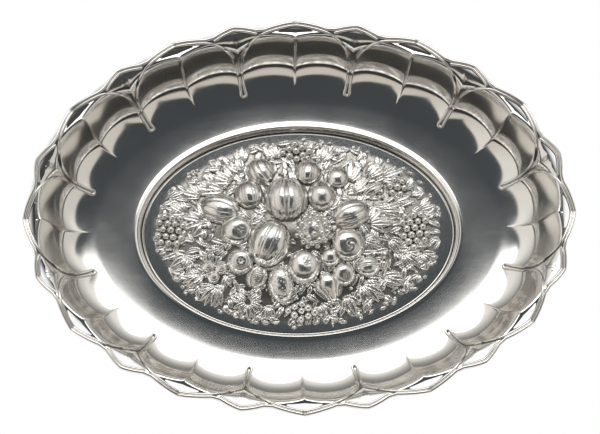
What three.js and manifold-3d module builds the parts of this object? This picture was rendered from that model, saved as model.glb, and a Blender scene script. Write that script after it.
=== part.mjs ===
// Oval silver fruit bowl: a raised sheet body with twelve bilobed wall panels and a pierced border, a pressed
// fruit medallion in the well, and soldered rim wire, panel hoops and spandrel reeds.
// Millimetres, +Z up. The origin is on the table, under the middle of the bowl. +X is the long axis.

import * as THREE from 'three';
import { mergeVertices } from 'three/addons/utils/BufferGeometryUtils.js';
import Module from 'manifold-3d';

const wasm = await Module();
wasm.setup();

// Plan: two ellipses, one through the tips of the gables and one where the well floor turns up into the wall
const RIM_HALF_LENGTH = 190;
const RIM_HALF_WIDTH = 141.6;
const WELL_HALF_LENGTH = 147.8;
const WELL_HALF_WIDTH = 101.5;
const PANELS = 12;
const RIB_TWIST = THREE.MathUtils.degToRad(2);

// Heights and sheet
const SHEET = 0.9;
const SEAM = 0.3;
const FLOOR_Z = 7.2;
const RISE = 37.8;

// Wall profile at the ribs, drawn over a nominal run: foot arc, straight wall, shoulder arc, flat border
const WALL_RUN = 41;
const FOOT_RADIUS = 18;
const SHOULDER_RADIUS = 14;
const WALL_ANGLE = THREE.MathUtils.degToRad(70);
const BORDER_ANGLE = THREE.MathUtils.degToRad(4);

// Border outline, as shares of the wall run, with the gables' half widths in half pitches
const GABLE_TIP = 0.985;
const GABLE_DEPTH = 0.13;
const GABLE_POWER = 1.3;
const OUTLINE_STEP = 0.02;
const PANEL_SHARE = 0.58;
const SPANDREL_SHARE = 0.42;

// Lobes of a panel: the lip where the flute meets the border, and how deep the flute is pressed
const CREASE_LIP = 0.665;
const LOBE_LIP = 0.705;
const RIB_LIP = 0.5;
const LOBE_CREST = 0.25;
const LIP_FALL = 0.68;
const LIP_POWER = 2.6;
const FLUTE_CENTRE = 0.47;
const FLUTE_HALF_WIDTH = 0.475;
const FLUTE_WEIGHT = 0.9;
const FLUTE_POWER = 0.8;

// Wires: widths and heights of their half-round sections
const RIM_WIRE = { width: 2.4, height: 2.6 };
const HOOP_WIRE = { width: 2, height: 1.7 };
const RIM_WIRE_INSET = RIM_WIRE.width / 2;
const REED_INSET = RIM_WIRE.width + SEAM + HOOP_WIRE.width / 2;
const MOULDING = RIM_WIRE.width + SEAM + HOOP_WIRE.width;
const REED_REACH = 0.35;
const NORMAL_REACH = 0.8;

// Piercings: half widths in half pitches, and the shares of the wall run where their inner edges lie
const PANEL_PIERCING = { reach: 0.29, share: 0.758, slant: 0.024, corner: 0.015 };
const SPANDREL_PIERCING = { reach: 0.31, peak: 0.785, drop: 0.04, flank: 0.55, slant: 0.015 };
const CUT_DEPTH = 30;

// Rib legs: how the two legs of neighbouring hoops lie beside each other, and where they part
const LEG_SPACING = HOOP_WIRE.width / 2 + SEAM / 2;
const LEG_TIP_SPREAD = 0.7;
const LEG_TIP = 0.15;
const LEG_PARTING = 0.4;
const LEG_POWER = 2.1;

// Collar and foot ledge in the middle of the well, as insets from the shoulder ellipse and heights. The well
// floor flares up a little to the shoulder, and the collar drops from there to the ledge.
const SHOULDER_HALF_LENGTH = 111.3;
const SHOULDER_HALF_WIDTH = 76.1;
const FLARE_RUN = 6;
const FLARE_RISE = 0.7;
const SHOULDER_Z = FLOOR_Z + FLARE_RISE;
const COLLAR_TOP = [[8, SHEET], [3, SHEET], [1.3, SHOULDER_Z - 1], [0, SHOULDER_Z], [-FLARE_RUN, FLOOR_Z]];
const COLLAR_UNDER = [
  [8, 0], [2.1, 0], [0.4, SHOULDER_Z - 1.6], [-0.3, SHOULDER_Z - SHEET], [-FLARE_RUN, FLOOR_Z - SHEET],
];

// Medallion plate: half axes, underside of its flat rim, and its profile from the rim to the middle as
// a share of the way in and a rise
const PLATE_HALF_LENGTH = SHOULDER_HALF_LENGTH - 3.4;
const PLATE_HALF_WIDTH = SHOULDER_HALF_WIDTH - 3.4;
const PLATE_Z = SHEET + SEAM;
const PLATE_PROFILE = [[0, 0], [0.075, 0], [0.16, -0.6], [0.32, 1.2], [0.6, 4.6], [0.999, 6.6]];
const PLATE_COLUMNS = 30;

// How far the relief is let into the plate
const RELIEF_SINK = 0.5;

// Fruit of the relief: middle x and y, half length, half width, height over the plate, turn in degrees.
// The two melons and the fruit round them are pressed hollow; the outer fruit are low and nearly solid.
const HOLLOW_FRUIT = [
  [-8, 23, 16.6, 15.8, 11.6, 90], [-20.5, -9.2, 17.6, 15.6, 11.6, 65], [-34, 27, 11, 10.4, 8.5, 0],
  [3, -26.7, 12.6, 11.8, 9.5, 90], [10.2, -0.7, 12, 11.8, 10, 0], [16.7, 24.8, 11.6, 10.4, 9.5, 90],
  [36.8, 11.2, 14.2, 11, 8.5, 22], [34, -10.6, 12.4, 12.2, 9, 0],
];
const OUTER_FRUIT = [
  [-25.2, 43.9, 10.6, 10.2, 8, 0], [7.6, 43, 9.8, 9.6, 8, 0], [-54, 17.2, 14.4, 11.4, 7.5, -18],
  [-43, 0.7, 12, 11, 8.5, 0], [-40.8, -21.5, 9.8, 9.5, 7.5, 0], [-13, -38.5, 13, 9.2, 7, 97],
  [28.3, 38.8, 8.6, 8.4, 7, 90], [20.2, -40.6, 11, 10, 7, 110],
];
const SMALL_FRUIT = [
  [-29.3, -32.6, 8.8, 7.4, 6, 62], [-63, -24, 5.2, 5, 4.5, 0], [-54, -25.5, 5.2, 5, 4.5, 0],
  [-59.5, -31.5, 5.2, 5, 4.5, 0], [21.6, -19.8, 7.2, 7, 6, 0], [30.8, -31.6, 8.4, 8.2, 6, 0],
  [48, -26.3, 8.6, 7.6, 6, 8], [59, -21.5, 7.8, 5, 4.5, 82], [53, 30, 9.4, 4.6, 4.5, 32],
];

// Sides and steps of the domes, and of the hollows pressed up behind the fruit
const HOLLOW_FRUIT_FACETS = [11, 4];
const OUTER_FRUIT_FACETS = [9, 3];
const SMALL_FRUIT_FACETS = [7, 2];
const BERRY_FACETS = [6, 2];
const HOLLOW_FACETS = [6, 5];

// Bunches of grapes: middle x and y, berries along and across, turn in degrees
const BERRY_RADIUS = 3.4;
const BERRY_PITCH = 6.1;
const GRAPES = [
  [81, 2, 3, 3, 100], [70, 33, 2, 2, 20], [-89, 4, 3, 3, -80], [0, 59, 2, 2, 0], [2, -56, 2, 2, 180],
];

// Sprays of leaves: stalk x and y, direction and spread in degrees, leaflets, length
const LEAF_HEIGHT = 1.6;
const LEAF_PARTING = 0.5;
const LEAF_SHORTENING = 0.5;
const SPRAYS = [
  [-66, 10, 158, 150, 3, 17], [-46, 36, 145, 110, 4, 20], [-36, 50, 98, 90, 3, 13],
  [-14, 53, 108, 80, 3, 12], [16, 52, 62, 80, 3, 14], [38, 32, 66, 100, 4, 22],
  [54, 38, 22, 80, 3, 18], [52, 6, 18, 120, 4, 20], [70, 20, 34, 80, 3, 14],
  [76, -14, -30, 120, 3, 16], [56, -34, -16, 80, 3, 17], [42, -40, -46, 110, 4, 18],
  [16, -50, -72, 90, 3, 13], [-34, -46, -95, 150, 4, 16], [-56, -36, -130, 120, 4, 17],
  [-72, -20, 200, 110, 3, 16], [-76, 18, 150, 110, 3, 14],
];

// Where the sheet and the wires are drawn: stations in a half pitch, turns up the flutes and steps over
// the border
const SHEET_COLUMNS = [0, 0.29, PANEL_SHARE, 0.82, 1];
const GABLE_COLUMNS = [PANEL_SHARE, 0.44, 0.29, 0];
const LEG_SHARES = [0.01, 0.15, 0.3, 0.42, 0.5, 0.53, 0.57, 0.61, 0.65, 0.69, 0.74];
const WALL_TURNS = [0, 25, 48, 69, 90].map(THREE.MathUtils.degToRad);
const BORDER_STEPS = [[0.15, 0.24], [0.3, 0.5], [1, 1]];

const silver = { color: 0xd9d7d2, metalness: 1 };

function material(roughness, tint = silver.color) {
  return new THREE.MeshStandardMaterial({ color: tint, metalness: silver.metalness, roughness });
}

// Plan position. Stations count half pitches round the bowl: even at panel middles, odd at ribs.
// The share runs from 0 on the well ellipse to 1 on the rim ellipse.

const rimEllipse = new THREE.EllipseCurve(0, 0, RIM_HALF_LENGTH, RIM_HALF_WIDTH, 0, 2 * Math.PI);
rimEllipse.arcLengthDivisions = 2400;
const HALF_PITCH = rimEllipse.getLength() / (2 * PANELS);

function rimAngle(station) {
  const turns = station / (2 * PANELS);
  const whole = Math.floor(turns);
  return 2 * Math.PI * (whole + rimEllipse.getUtoTmapping(turns - whole, 0));
}

function plan(station, share) {
  const angle = rimAngle(station);
  const well = angle - RIB_TWIST * Math.sin(2 * angle);
  const wellPoint = new THREE.Vector2(WELL_HALF_LENGTH * Math.cos(well), WELL_HALF_WIDTH * Math.sin(well));
  const rimPoint = new THREE.Vector2(RIM_HALF_LENGTH * Math.cos(angle), RIM_HALF_WIDTH * Math.sin(angle));
  return wellPoint.lerp(rimPoint, share);
}

// Distance from the nearest panel middle, 0 to 1
function fromPanel(station) {
  return Math.abs(((station + 1) % 2 + 2) % 2 - 1);
}

function ribHeight(share) {
  const x = Math.max(0, share * WALL_RUN);
  const footRun = FOOT_RADIUS * Math.sin(WALL_ANGLE);
  const footRise = FOOT_RADIUS * (1 - Math.cos(WALL_ANGLE));
  const shoulderRise = SHOULDER_RADIUS * (Math.cos(BORDER_ANGLE) - Math.cos(WALL_ANGLE));
  const shoulderRun = SHOULDER_RADIUS * (Math.sin(WALL_ANGLE) - Math.sin(BORDER_ANGLE));
  const shoulderStart = footRun + (RISE - shoulderRise - footRise) / Math.tan(WALL_ANGLE);
  const borderStart = shoulderStart + shoulderRun;
  if (x < footRun) return FLOOR_Z + FOOT_RADIUS - Math.sqrt(FOOT_RADIUS ** 2 - x ** 2);
  if (x < shoulderStart) return FLOOR_Z + footRise + (x - footRun) * Math.tan(WALL_ANGLE);
  if (x > borderStart) return FLOOR_Z + RISE + (x - borderStart) * Math.tan(BORDER_ANGLE);
  const sine = Math.sin(WALL_ANGLE) - (x - shoulderStart) / SHOULDER_RADIUS;
  return FLOOR_Z + RISE - shoulderRise + SHOULDER_RADIUS * (Math.sqrt(1 - sine ** 2) - Math.cos(WALL_ANGLE));
}

function outline(station) {
  const g = fromPanel(station);
  const u = g <= PANEL_SHARE ? g / PANEL_SHARE : (1 - g) / SPANDREL_SHARE;
  return GABLE_TIP - GABLE_DEPTH * u ** GABLE_POWER;
}

// A line parallel to the outline, a given distance inside it
function insideOutline(station, inset) {
  const g = fromPanel(station);
  const rising = g <= PANEL_SHARE ? g - OUTLINE_STEP : g + OUTLINE_STEP;
  const slope = Math.abs(outline(rising) - outline(g)) * WALL_RUN / (OUTLINE_STEP * HALF_PITCH);
  return outline(station) - inset * Math.hypot(1, slope) / WALL_RUN;
}

function lip(station) {
  const g = fromPanel(station);
  if (g < LOBE_CREST) return LOBE_LIP - (LOBE_LIP - CREASE_LIP) * (1 - g / LOBE_CREST) ** 2;
  return LOBE_LIP - (LOBE_LIP - RIB_LIP) * Math.min(1, (g - LOBE_CREST) / LIP_FALL) ** LIP_POWER;
}

function fluteWeight(station) {
  const offset = Math.min(1, Math.abs(fromPanel(station) - FLUTE_CENTRE) / FLUTE_HALF_WIDTH);
  return FLUTE_WEIGHT * (1 - offset ** 2) ** FLUTE_POWER;
}

// One column of the sheet's upper face, from the well ellipse to the edge under the rim wire
function wallColumn(station) {
  const top = lip(station);
  const edge = insideOutline(station, RIM_WIRE_INSET / 2);
  const lipHeight = ribHeight(top);
  const weight = fluteWeight(station);
  const wall = WALL_TURNS.map((turn) => {
    const share = top * Math.sin(turn);
    const flute = FLOOR_Z + (lipHeight - FLOOR_Z) * (1 - Math.cos(turn));
    return [share, THREE.MathUtils.lerp(ribHeight(share), flute, weight)];
  });
  const border = BORDER_STEPS.map(([atPanel, atRib]) => {
    const step = THREE.MathUtils.lerp(atPanel, atRib, fromPanel(station) ** 2);
    const share = THREE.MathUtils.lerp(top, edge, step);
    return [share, ribHeight(share)];
  });
  return [...wall, ...border];
}

// Closed skins

function geometry(points, faces) {
  const made = new THREE.BufferGeometry();
  made.setAttribute('position', new THREE.Float32BufferAttribute(points.flatMap((p) => [p.x, p.y, p.z]), 3));
  made.setIndex(faces);
  return made;
}

function toSolid(source) {
  const bare = source.clone();
  bare.deleteAttribute('normal');
  bare.deleteAttribute('uv');
  const merged = mergeVertices(bare, 1e-4);
  const solid = new wasm.Manifold(new wasm.Mesh({
    numProp: 3,
    vertProperties: new Float32Array(merged.getAttribute('position').array),
    triVerts: new Uint32Array(merged.getIndex().array),
  }));
  return solid;
}

function fromSolid(solid) {
  const { vertProperties, triVerts } = solid.getMesh();
  const made = new THREE.BufferGeometry();
  made.setAttribute('position', new THREE.BufferAttribute(vertProperties, 3));
  made.setIndex(new THREE.BufferAttribute(triVerts, 1));
  return made;
}

// Faces between rings of points, each ring counter-clockwise as seen against the direction of travel.
// The rings close on themselves. A ring may have twice the points of its neighbour, and a four-sided
// field is folded along its lower diagonal, so that both halves of every panel are alike.
function bandFaces(rings, closed) {
  const starts = rings.map((_, i) => rings.slice(0, i).reduce((sum, ring) => sum + ring.length, 0));
  const faces = [];
  const spans = closed ? rings.length : rings.length - 1;
  for (let i = 0; i < spans; i += 1) {
    const n = (i + 1) % rings.length;
    const here = (j) => starts[i] + j % rings[i].length;
    const next = (j) => starts[n] + j % rings[n].length;
    const ratio = rings[n].length / rings[i].length;
    for (let j = 0; j < Math.min(rings[i].length, rings[n].length); j += 1) {
      const ahead = (j + 1) % rings[i].length;
      if (ratio === 1 && rings[i][j].z + rings[n][ahead].z <= rings[i][ahead].z + rings[n][j].z) {
        faces.push(here(j), here(j + 1), next(j + 1), here(j), next(j + 1), next(j));
      } else if (ratio === 1) {
        faces.push(here(j), here(j + 1), next(j), here(j + 1), next(j + 1), next(j));
      } else if (ratio === 2) {
        faces.push(here(j), next(2 * j + 1), next(2 * j), here(j + 1), next(2 * j + 2), next(2 * j + 1));
        faces.push(here(j), here(j + 1), next(2 * j + 1));
      } else {
        faces.push(here(2 * j), here(2 * j + 1), next(j), here(2 * j + 1), here(2 * j + 2), next(j + 1));
        faces.push(here(2 * j + 1), next(j + 1), next(j));
      }
    }
  }
  return faces;
}

// A closed skin: the row of rings either closes on itself too or ends in flat caps
function loft(rings, closed = false) {
  const faces = bandFaces(rings, closed);
  if (!closed) {
    const last = rings.flat().length - rings.at(-1).length;
    for (let j = 1; j < rings[0].length - 1; j += 1) faces.push(0, j + 1, j);
    for (let j = 1; j < rings.at(-1).length - 1; j += 1) faces.push(last, last + j, last + j + 1);
  }
  return geometry(rings.flat(), faces);
}

// Sheet body

const stations = [];
for (let half = 0; half < 2 * PANELS; half += 1) {
  const run = half % 2 === 0 ? SHEET_COLUMNS : SHEET_COLUMNS.map((g) => 1 - g).reverse();
  run.slice(0, -1).forEach((g) => stations.push(half + g));
}

function ellipsePoint(station, inset, z) {
  const angle = rimAngle(station);
  const well = angle - RIB_TWIST * Math.sin(2 * angle);
  const halfLength = SHOULDER_HALF_LENGTH - inset;
  const halfWidth = SHOULDER_HALF_WIDTH - inset;
  return new THREE.Vector3(halfLength * Math.cos(well), halfWidth * Math.sin(well), z);
}

// Rings of the wall's upper face, from the well out to the edge
function wallRings() {
  const columns = stations.map((station) => wallColumn(station).map(([share, z]) => {
    const p = plan(station, share);
    return new THREE.Vector3(p.x, p.y, z);
  }));
  return columns[0].map((_, row) => columns.map((column) => column[row]));
}

// The same rings one sheet's thickness below, square to the upper face
function underside(rings) {
  const skin = geometry(rings.flat(), bandFaces(rings, false));
  skin.computeVertexNormals();
  const normal = skin.getAttribute('normal');
  return rings.map((ring, i) => ring.map((p, j) => {
    const n = new THREE.Vector3().fromBufferAttribute(normal, i * ring.length + j);
    if (i === 0) n.set(0, 0, -1);
    return p.clone().addScaledVector(n, SHEET);
  }));
}

function collarRings(profile) {
  const corners = stations.filter((_, i) => i % 2 === 0);
  return profile.map(([inset, z]) => corners.map((station) => ellipsePoint(station, inset, z)));
}

function bowlShell() {
  const top = wallRings();
  const under = underside(top);
  const ledge = collarRings(COLLAR_UNDER);
  const section = [...collarRings(COLLAR_TOP), ...top, ...under.reverse(), ...ledge.reverse()];
  let body = toSolid(loft(section.reverse(), true));
  for (let half = 0; half < 2 * PANELS; half += 1) {
    body = body.subtract(toSolid(half % 2 === 0 ? panelPiercing(half) : spandrelPiercing(half)));
  }
  return fromSolid(body);
}

// Piercings, cut straight down through the border

function piercing(outer, inner) {
  const loop = [...outer, ...inner.reverse()].map(([station, share]) => plan(station, share));
  const prism = new THREE.ExtrudeGeometry(new THREE.Shape(loop), { depth: CUT_DEPTH, bevelEnabled: false });
  prism.translate(0, 0, FLOOR_Z + RISE - CUT_DEPTH / 2);
  return prism;
}

// A low triangle under the panel's gable, with a slight point down at the crease
function panelPiercing(middle) {
  const { reach, share, slant, corner } = PANEL_PIERCING;
  const outer = [-1, -0.5, 0, 0.5, 1].map((u) => {
    const s = middle + u * reach;
    return [s, insideOutline(s, MOULDING) - corner * Math.abs(u) ** 6];
  });
  const inner = [-0.5, 0, 0.5].map((u) => [middle + u * reach, share + slant * Math.abs(u)]);
  return piercing(outer, inner);
}

// A bent band under the spandrel's gable, over the pointed top of the shield
function spandrelPiercing(middle) {
  const { reach, peak, drop, flank, slant } = SPANDREL_PIERCING;
  const outer = [-1, -0.5, 0, 0.5, 1].map((u) => {
    const s = middle + u * reach;
    return [s, insideOutline(s, MOULDING)];
  });
  const inner = [-0.95, -flank, 0, flank, 0.95].map((u) => {
    const fall = Math.min(1, Math.abs(u) / flank);
    return [middle + u * reach, peak - drop * fall + slant * Math.max(0, Math.abs(u) - flank)];
  });
  return piercing(outer, inner);
}

// Wires are scribed to the sheet: every corner of their flat seat follows the sheet's upper face

const upperFace = geometry(wallRings().flat(), bandFaces(wallRings(), false));
const sheetTop = new THREE.Mesh(upperFace, new THREE.MeshBasicMaterial({ side: THREE.DoubleSide }));
const plumb = new THREE.Raycaster();

function sheetHeight(x, y, beyond) {
  plumb.set(new THREE.Vector3(x, y, 2 * RISE), new THREE.Vector3(0, 0, -1));
  const hit = plumb.intersectObject(sheetTop).at(0);
  return hit ? hit.point.z : beyond;
}

function sheetNormal(x, y, z) {
  const r = NORMAL_REACH;
  const slopeX = (sheetHeight(x + r, y, z) - sheetHeight(x - r, y, z)) / (2 * r);
  const slopeY = (sheetHeight(x, y + r, z) - sheetHeight(x, y - r, z)) / (2 * r);
  return new THREE.Vector3(-slopeX, -slopeY, 1).normalize();
}

function seat([station, share]) {
  const p = plan(station, share);
  return new THREE.Vector3(p.x, p.y, sheetHeight(p.x, p.y, FLOOR_Z));
}

// Half-round section with a flat seat, standing on the sheet and lifted clear of any ridge it crosses
const SECTION = [[-1, 0], [-0.55, 1], [0.55, 1], [1, 0]];

function wire(route, size, closed = false) {
  const seats = route.map(seat);
  const rings = seats.map((p, i) => {
    const before = seats[closed ? (i + seats.length - 1) % seats.length : Math.max(0, i - 1)];
    const after = seats[closed ? (i + 1) % seats.length : Math.min(seats.length - 1, i + 1)];
    const along = new THREE.Vector3().subVectors(after, before).normalize();
    const up = sheetNormal(p.x, p.y, p.z);
    const side = new THREE.Vector3().crossVectors(along, up).normalize();
    const corners = SECTION.map(([u]) => {
      const corner = p.clone().addScaledVector(side, u * size.width / 2);
      corner.z = sheetHeight(corner.x, corner.y, corner.z);
      return corner;
    });
    const ridge = Math.max(0, p.z - (corners.at(0).z + corners.at(-1).z) / 2);
    return corners.map((corner, j) => {
      corner.z += ridge;
      return corner.addScaledVector(up, SEAM + SECTION[j][1] * size.height);
    });
  });
  return loft(rings, closed);
}

function rimWire() {
  return wire(stations.map((station) => [station, insideOutline(station, RIM_WIRE_INSET)]), RIM_WIRE, true);
}

// How far a hoop's leg stands from the rib line, in half pitches
function legOffset(share) {
  const halfPitch = THREE.MathUtils.lerp(WELL_HALF_LENGTH / RIM_HALF_LENGTH, 1, share) * HALF_PITCH;
  const tip = Math.max(0, 1 - share / LEG_TIP);
  const beside = (LEG_SPACING + LEG_TIP_SPREAD * tip ** 2) / halfPitch;
  const valley = insideOutline(PANEL_SHARE, REED_INSET);
  const parted = Math.max(0, (share - LEG_PARTING) / (valley - LEG_PARTING));
  return beside + (SPANDREL_SHARE - beside) * parted ** LEG_POWER;
}

function panelHoop(middle) {
  const leg = LEG_SHARES.map((share) => [1 - legOffset(share), share]);
  const gable = GABLE_COLUMNS.map((g) => [g, insideOutline(g, REED_INSET)]);
  const half = [...leg, ...gable];
  const left = half.map(([g, share]) => [middle - g, share]);
  const right = half.slice(0, -1).reverse().map(([g, share]) => [middle + g, share]);
  return wire([...left, ...right], HOOP_WIRE);
}

function spandrelReed(middle) {
  const route = [-1, -0.5, 0, 0.5, 1].map((u) => {
    const station = middle + u * REED_REACH;
    return [station, insideOutline(station, REED_INSET)];
  });
  return wire(route, HOOP_WIRE);
}

// Medallion: one pressed plate, with the fruit pushed up from below, so the large fruit are hollow underneath

function plateRise(inward) {
  const i = Math.max(1, PLATE_PROFILE.findIndex(([share]) => share >= inward));
  const [shareA, riseA] = PLATE_PROFILE[i - 1];
  const [shareB, riseB] = PLATE_PROFILE[i];
  return THREE.MathUtils.mapLinear(inward, shareA, shareB, riseA, riseB);
}

function plateTop(x, y) {
  return PLATE_Z + SHEET + plateRise(1 - Math.hypot(x / PLATE_HALF_LENGTH, y / PLATE_HALF_WIDTH));
}

function plateRow(inward, z) {
  return Array.from({ length: PLATE_COLUMNS }, (_, i) => {
    const angle = 2 * Math.PI * i / PLATE_COLUMNS;
    const out = 1 - inward;
    return new THREE.Vector3(
      PLATE_HALF_LENGTH * out * Math.cos(angle),
      PLATE_HALF_WIDTH * out * Math.sin(angle),
      z,
    );
  });
}

function plateFace(lift) {
  return PLATE_PROFILE.map(([inward, rise]) => plateRow(inward, PLATE_Z + lift + rise));
}

// Puts a piece of relief, drawn about the origin, on the plate: turned, tilted to the slope and let in
// a little
function setOnPlate(shape, x, y, turn) {
  const outward = Math.atan2(y, x);
  const slope = plateTop(x, y) - plateTop(x + Math.cos(outward), y + Math.sin(outward));
  shape.rotateZ(THREE.MathUtils.degToRad(turn) - outward);
  shape.rotateY(Math.atan(slope));
  shape.rotateZ(outward);
  shape.translate(x, y, plateTop(x, y) - RELIEF_SINK);
  return toSolid(shape);
}

function dome([x, y, halfLength, halfWidth, height, turn], [around, down]) {
  const profile = [new THREE.Vector2(0, 0)];
  for (let i = 0; i < down; i += 1) {
    const rise = Math.PI / 2 * i / down;
    profile.push(new THREE.Vector2(Math.cos(rise), Math.sin(rise)));
  }
  profile.push(new THREE.Vector2(0, 1));
  const shape = new THREE.LatheGeometry(profile, around);
  shape.rotateX(Math.PI / 2);
  shape.scale(halfLength, halfWidth, height + RELIEF_SINK);
  return setOnPlate(shape, x, y, turn);
}

// The hollow under a fruit that is pressed up from below
function hollow([x, y, halfLength, halfWidth, height, turn]) {
  const shape = new THREE.SphereGeometry(1, ...HOLLOW_FACETS);
  shape.rotateX(Math.PI / 2);
  shape.scale(halfLength - SHEET, halfWidth - SHEET, height - SHEET);
  return setOnPlate(shape, x, y, turn);
}

// A bunch lies with its wide end at the stalk and one berry at the tip
function bunch([x, y, along, across, turn]) {
  const middle = new THREE.Vector2(x, y);
  const berries = [];
  for (let row = 0; row < along; row += 1) {
    const count = Math.max(1, across - Math.floor(row * across / along));
    for (let i = 0; i < count; i += 1) {
      const place = new THREE.Vector2(i - (count - 1) / 2, (along - 1) / 2 - row).multiplyScalar(BERRY_PITCH);
      place.rotateAround(new THREE.Vector2(), THREE.MathUtils.degToRad(turn - 90)).add(middle);
      berries.push([place.x, place.y, BERRY_RADIUS, BERRY_RADIUS, BERRY_RADIUS, 0]);
    }
  }
  return berries;
}

// A fan of pointed leaflets from one stalk, the middle ones longest, standing a little over the plate
function spray([x, y, turn, spread, leaflets, length]) {
  const polar = (degrees, radius) => {
    const angle = THREE.MathUtils.degToRad(degrees);
    return new THREE.Vector2(radius * Math.cos(angle), radius * Math.sin(angle));
  };
  const step = spread / leaflets;
  const points = [new THREE.Vector2(0, 0), polar(-spread / 2, LEAF_PARTING * LEAF_SHORTENING * length)];
  for (let i = 0; i < leaflets; i += 1) {
    const share = (i + 0.5) / leaflets - 0.5;
    const reach = length * (1 - LEAF_SHORTENING * Math.abs(share));
    points.push(polar(spread * share, reach));
    points.push(polar(spread * share + step / 2, LEAF_PARTING * reach));
  }
  const depth = LEAF_HEIGHT + RELIEF_SINK;
  const shape = new THREE.ExtrudeGeometry(new THREE.Shape(points), { depth, bevelEnabled: false });
  return setOnPlate(shape, x, y, turn);
}

function medallion() {
  const upper = plateFace(SHEET);
  const lower = plateFace(0);
  let body = toSolid(loft([...lower.slice().reverse(), ...upper]));
  const reliefs = [
    ...SPRAYS.map(spray),
    ...GRAPES.flatMap(bunch).map((berry) => dome(berry, BERRY_FACETS)),
    ...SMALL_FRUIT.map((fruit) => dome(fruit, SMALL_FRUIT_FACETS)),
    ...OUTER_FRUIT.map((fruit) => dome(fruit, OUTER_FRUIT_FACETS)),
    ...HOLLOW_FRUIT.map((fruit) => dome(fruit, HOLLOW_FRUIT_FACETS)),
  ];
  reliefs.forEach((relief) => {
    body = body.add(relief);
  });
  const below = plateRow(0, -RISE);
  body = body.subtract(toSolid(loft([below, ...lower])));
  HOLLOW_FRUIT.forEach((fruit) => {
    body = body.subtract(hollow(fruit));
  });
  return fromSolid(body);
}

const bowl = new THREE.Group();

function add(name, shape, finish) {
  const mesh = new THREE.Mesh(shape, finish);
  mesh.name = name;
  bowl.add(mesh);
}

add('bowl_shell', bowlShell(), material(0.22));
add('medallion', medallion(), material(0.3));
add('rim_wire', rimWire(), material(0.2));
for (let panel = 0; panel < PANELS; panel += 1) {
  const number = String(panel + 1).padStart(2, '0');
  add(`panel_hoop_${number}`, panelHoop(2 * panel), material(0.18));
  add(`spandrel_reed_${number}`, spandrelReed(2 * panel + 1), material(0.18));
}

export default bowl;
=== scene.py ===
import math
from collections import namedtuple

import bpy
import numpy as np
from mathutils import Matrix, Vector


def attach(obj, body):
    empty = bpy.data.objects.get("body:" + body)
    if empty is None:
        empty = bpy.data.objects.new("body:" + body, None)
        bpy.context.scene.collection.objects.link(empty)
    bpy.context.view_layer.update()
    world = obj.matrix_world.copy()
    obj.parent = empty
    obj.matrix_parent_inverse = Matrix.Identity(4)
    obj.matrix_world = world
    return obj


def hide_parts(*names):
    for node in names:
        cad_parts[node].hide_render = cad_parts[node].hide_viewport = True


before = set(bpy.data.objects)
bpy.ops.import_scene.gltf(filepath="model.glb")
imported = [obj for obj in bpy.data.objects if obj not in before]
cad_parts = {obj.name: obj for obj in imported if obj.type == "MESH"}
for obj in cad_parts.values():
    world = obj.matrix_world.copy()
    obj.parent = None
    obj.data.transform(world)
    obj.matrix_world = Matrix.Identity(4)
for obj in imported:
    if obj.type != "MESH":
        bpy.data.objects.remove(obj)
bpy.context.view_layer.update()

# Oval silver fruit bowl. Sizes are in millimetres and become metres where a mesh is made.

MM = 0.001

# Plan: the rim ellipse through the gable tips, and the well ellipse where the floor turns up
RIM_HALF_LENGTH = 190.0
RIM_HALF_WIDTH = 141.6
WELL_HALF_LENGTH = 147.8
WELL_HALF_WIDTH = 101.5
PANELS = 12
HALF_PITCHES = 2 * PANELS
RIB_TWIST = math.radians(2)

# Sheet, solder gap and heights
SHEET = 0.9
SEAM = 0.3
FLOOR_Z = 7.2
BORDER_Z = 45.0

# Wall profile at the ribs: a long ease out of the floor that starts inside the well ellipse, a tighter foot,
# a straight wall, a shoulder, and a border that is crowned a little
WALL_RUN = 41.0
EASE_START = -9.5
FLOOR_RADIUS = 240.0
EASE_RADIUS = 45.0
EASE_ANGLE = math.radians(33)
LOBE_TURNS = (math.radians(11), math.radians(26))
FOOT_RADIUS = 9.0
FOOT_ANGLE = math.radians(52)
WALL_RADIUS = 40.0
WALL_ANGLE = math.radians(65)
CORNER_RUN = 26.1
CORNER_RISE = 37.1
SHOULDER_RADIUS = 14.0
BORDER_ANGLE = math.radians(-2)
CROWN_RADIUS = 32.0

# Border outline, in shares of the wall run and half pitches
GABLE_TIP = 0.985
GABLE_DEPTH = 0.13
GABLE_POWER = 1.3
PANEL_SHARE = 0.58
SPANDREL_SHARE = 0.42

# Lobes: how far the sheet is pressed out between creases and ribs, how full they are, how much of that a
# crease keeps at its foot and at its lip, the bead on it, the lip's radius and the least border behind it
LOBE_DEPTH = 3.9
LOBE_FULLNESS = 2.2
CREASE_FOOT = 0.3
CREASE_LIP = 0.3
CREASE_BEAD = 0.6
CREASE_HALF_WIDTH = 0.015
LIP_RADIUS = 2.5
LEAST_BORDER = 0.5

# Wires: their half-round sections, how deep they are seated, how sharply a section turns to its back, where
# the painted shade on its flank ends, and how far inside the outline they run
RIM_WIRE_WIDTH = 2.4
RIM_WIRE_HEIGHT = 2.6
RIM_WIRE_CLEARANCE = 0.6
HOOP_WIDTH = 2.0
HOOP_HEIGHT = 1.7
WIRE_SEAT = 0.1
WIRE_SIDES = 24
WIRE_CORNER = 8.0
SHADED_FLANK_TOP = 0.12
RIM_WIRE_INSET = RIM_WIRE_WIDTH / 2 + RIM_WIRE_CLEARANCE
REED_INSET = RIM_WIRE_WIDTH + SEAM + HOOP_WIDTH / 2
MOULDING = RIM_WIRE_WIDTH + SEAM + HOOP_WIDTH
REED_REACH = 0.36

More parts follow.
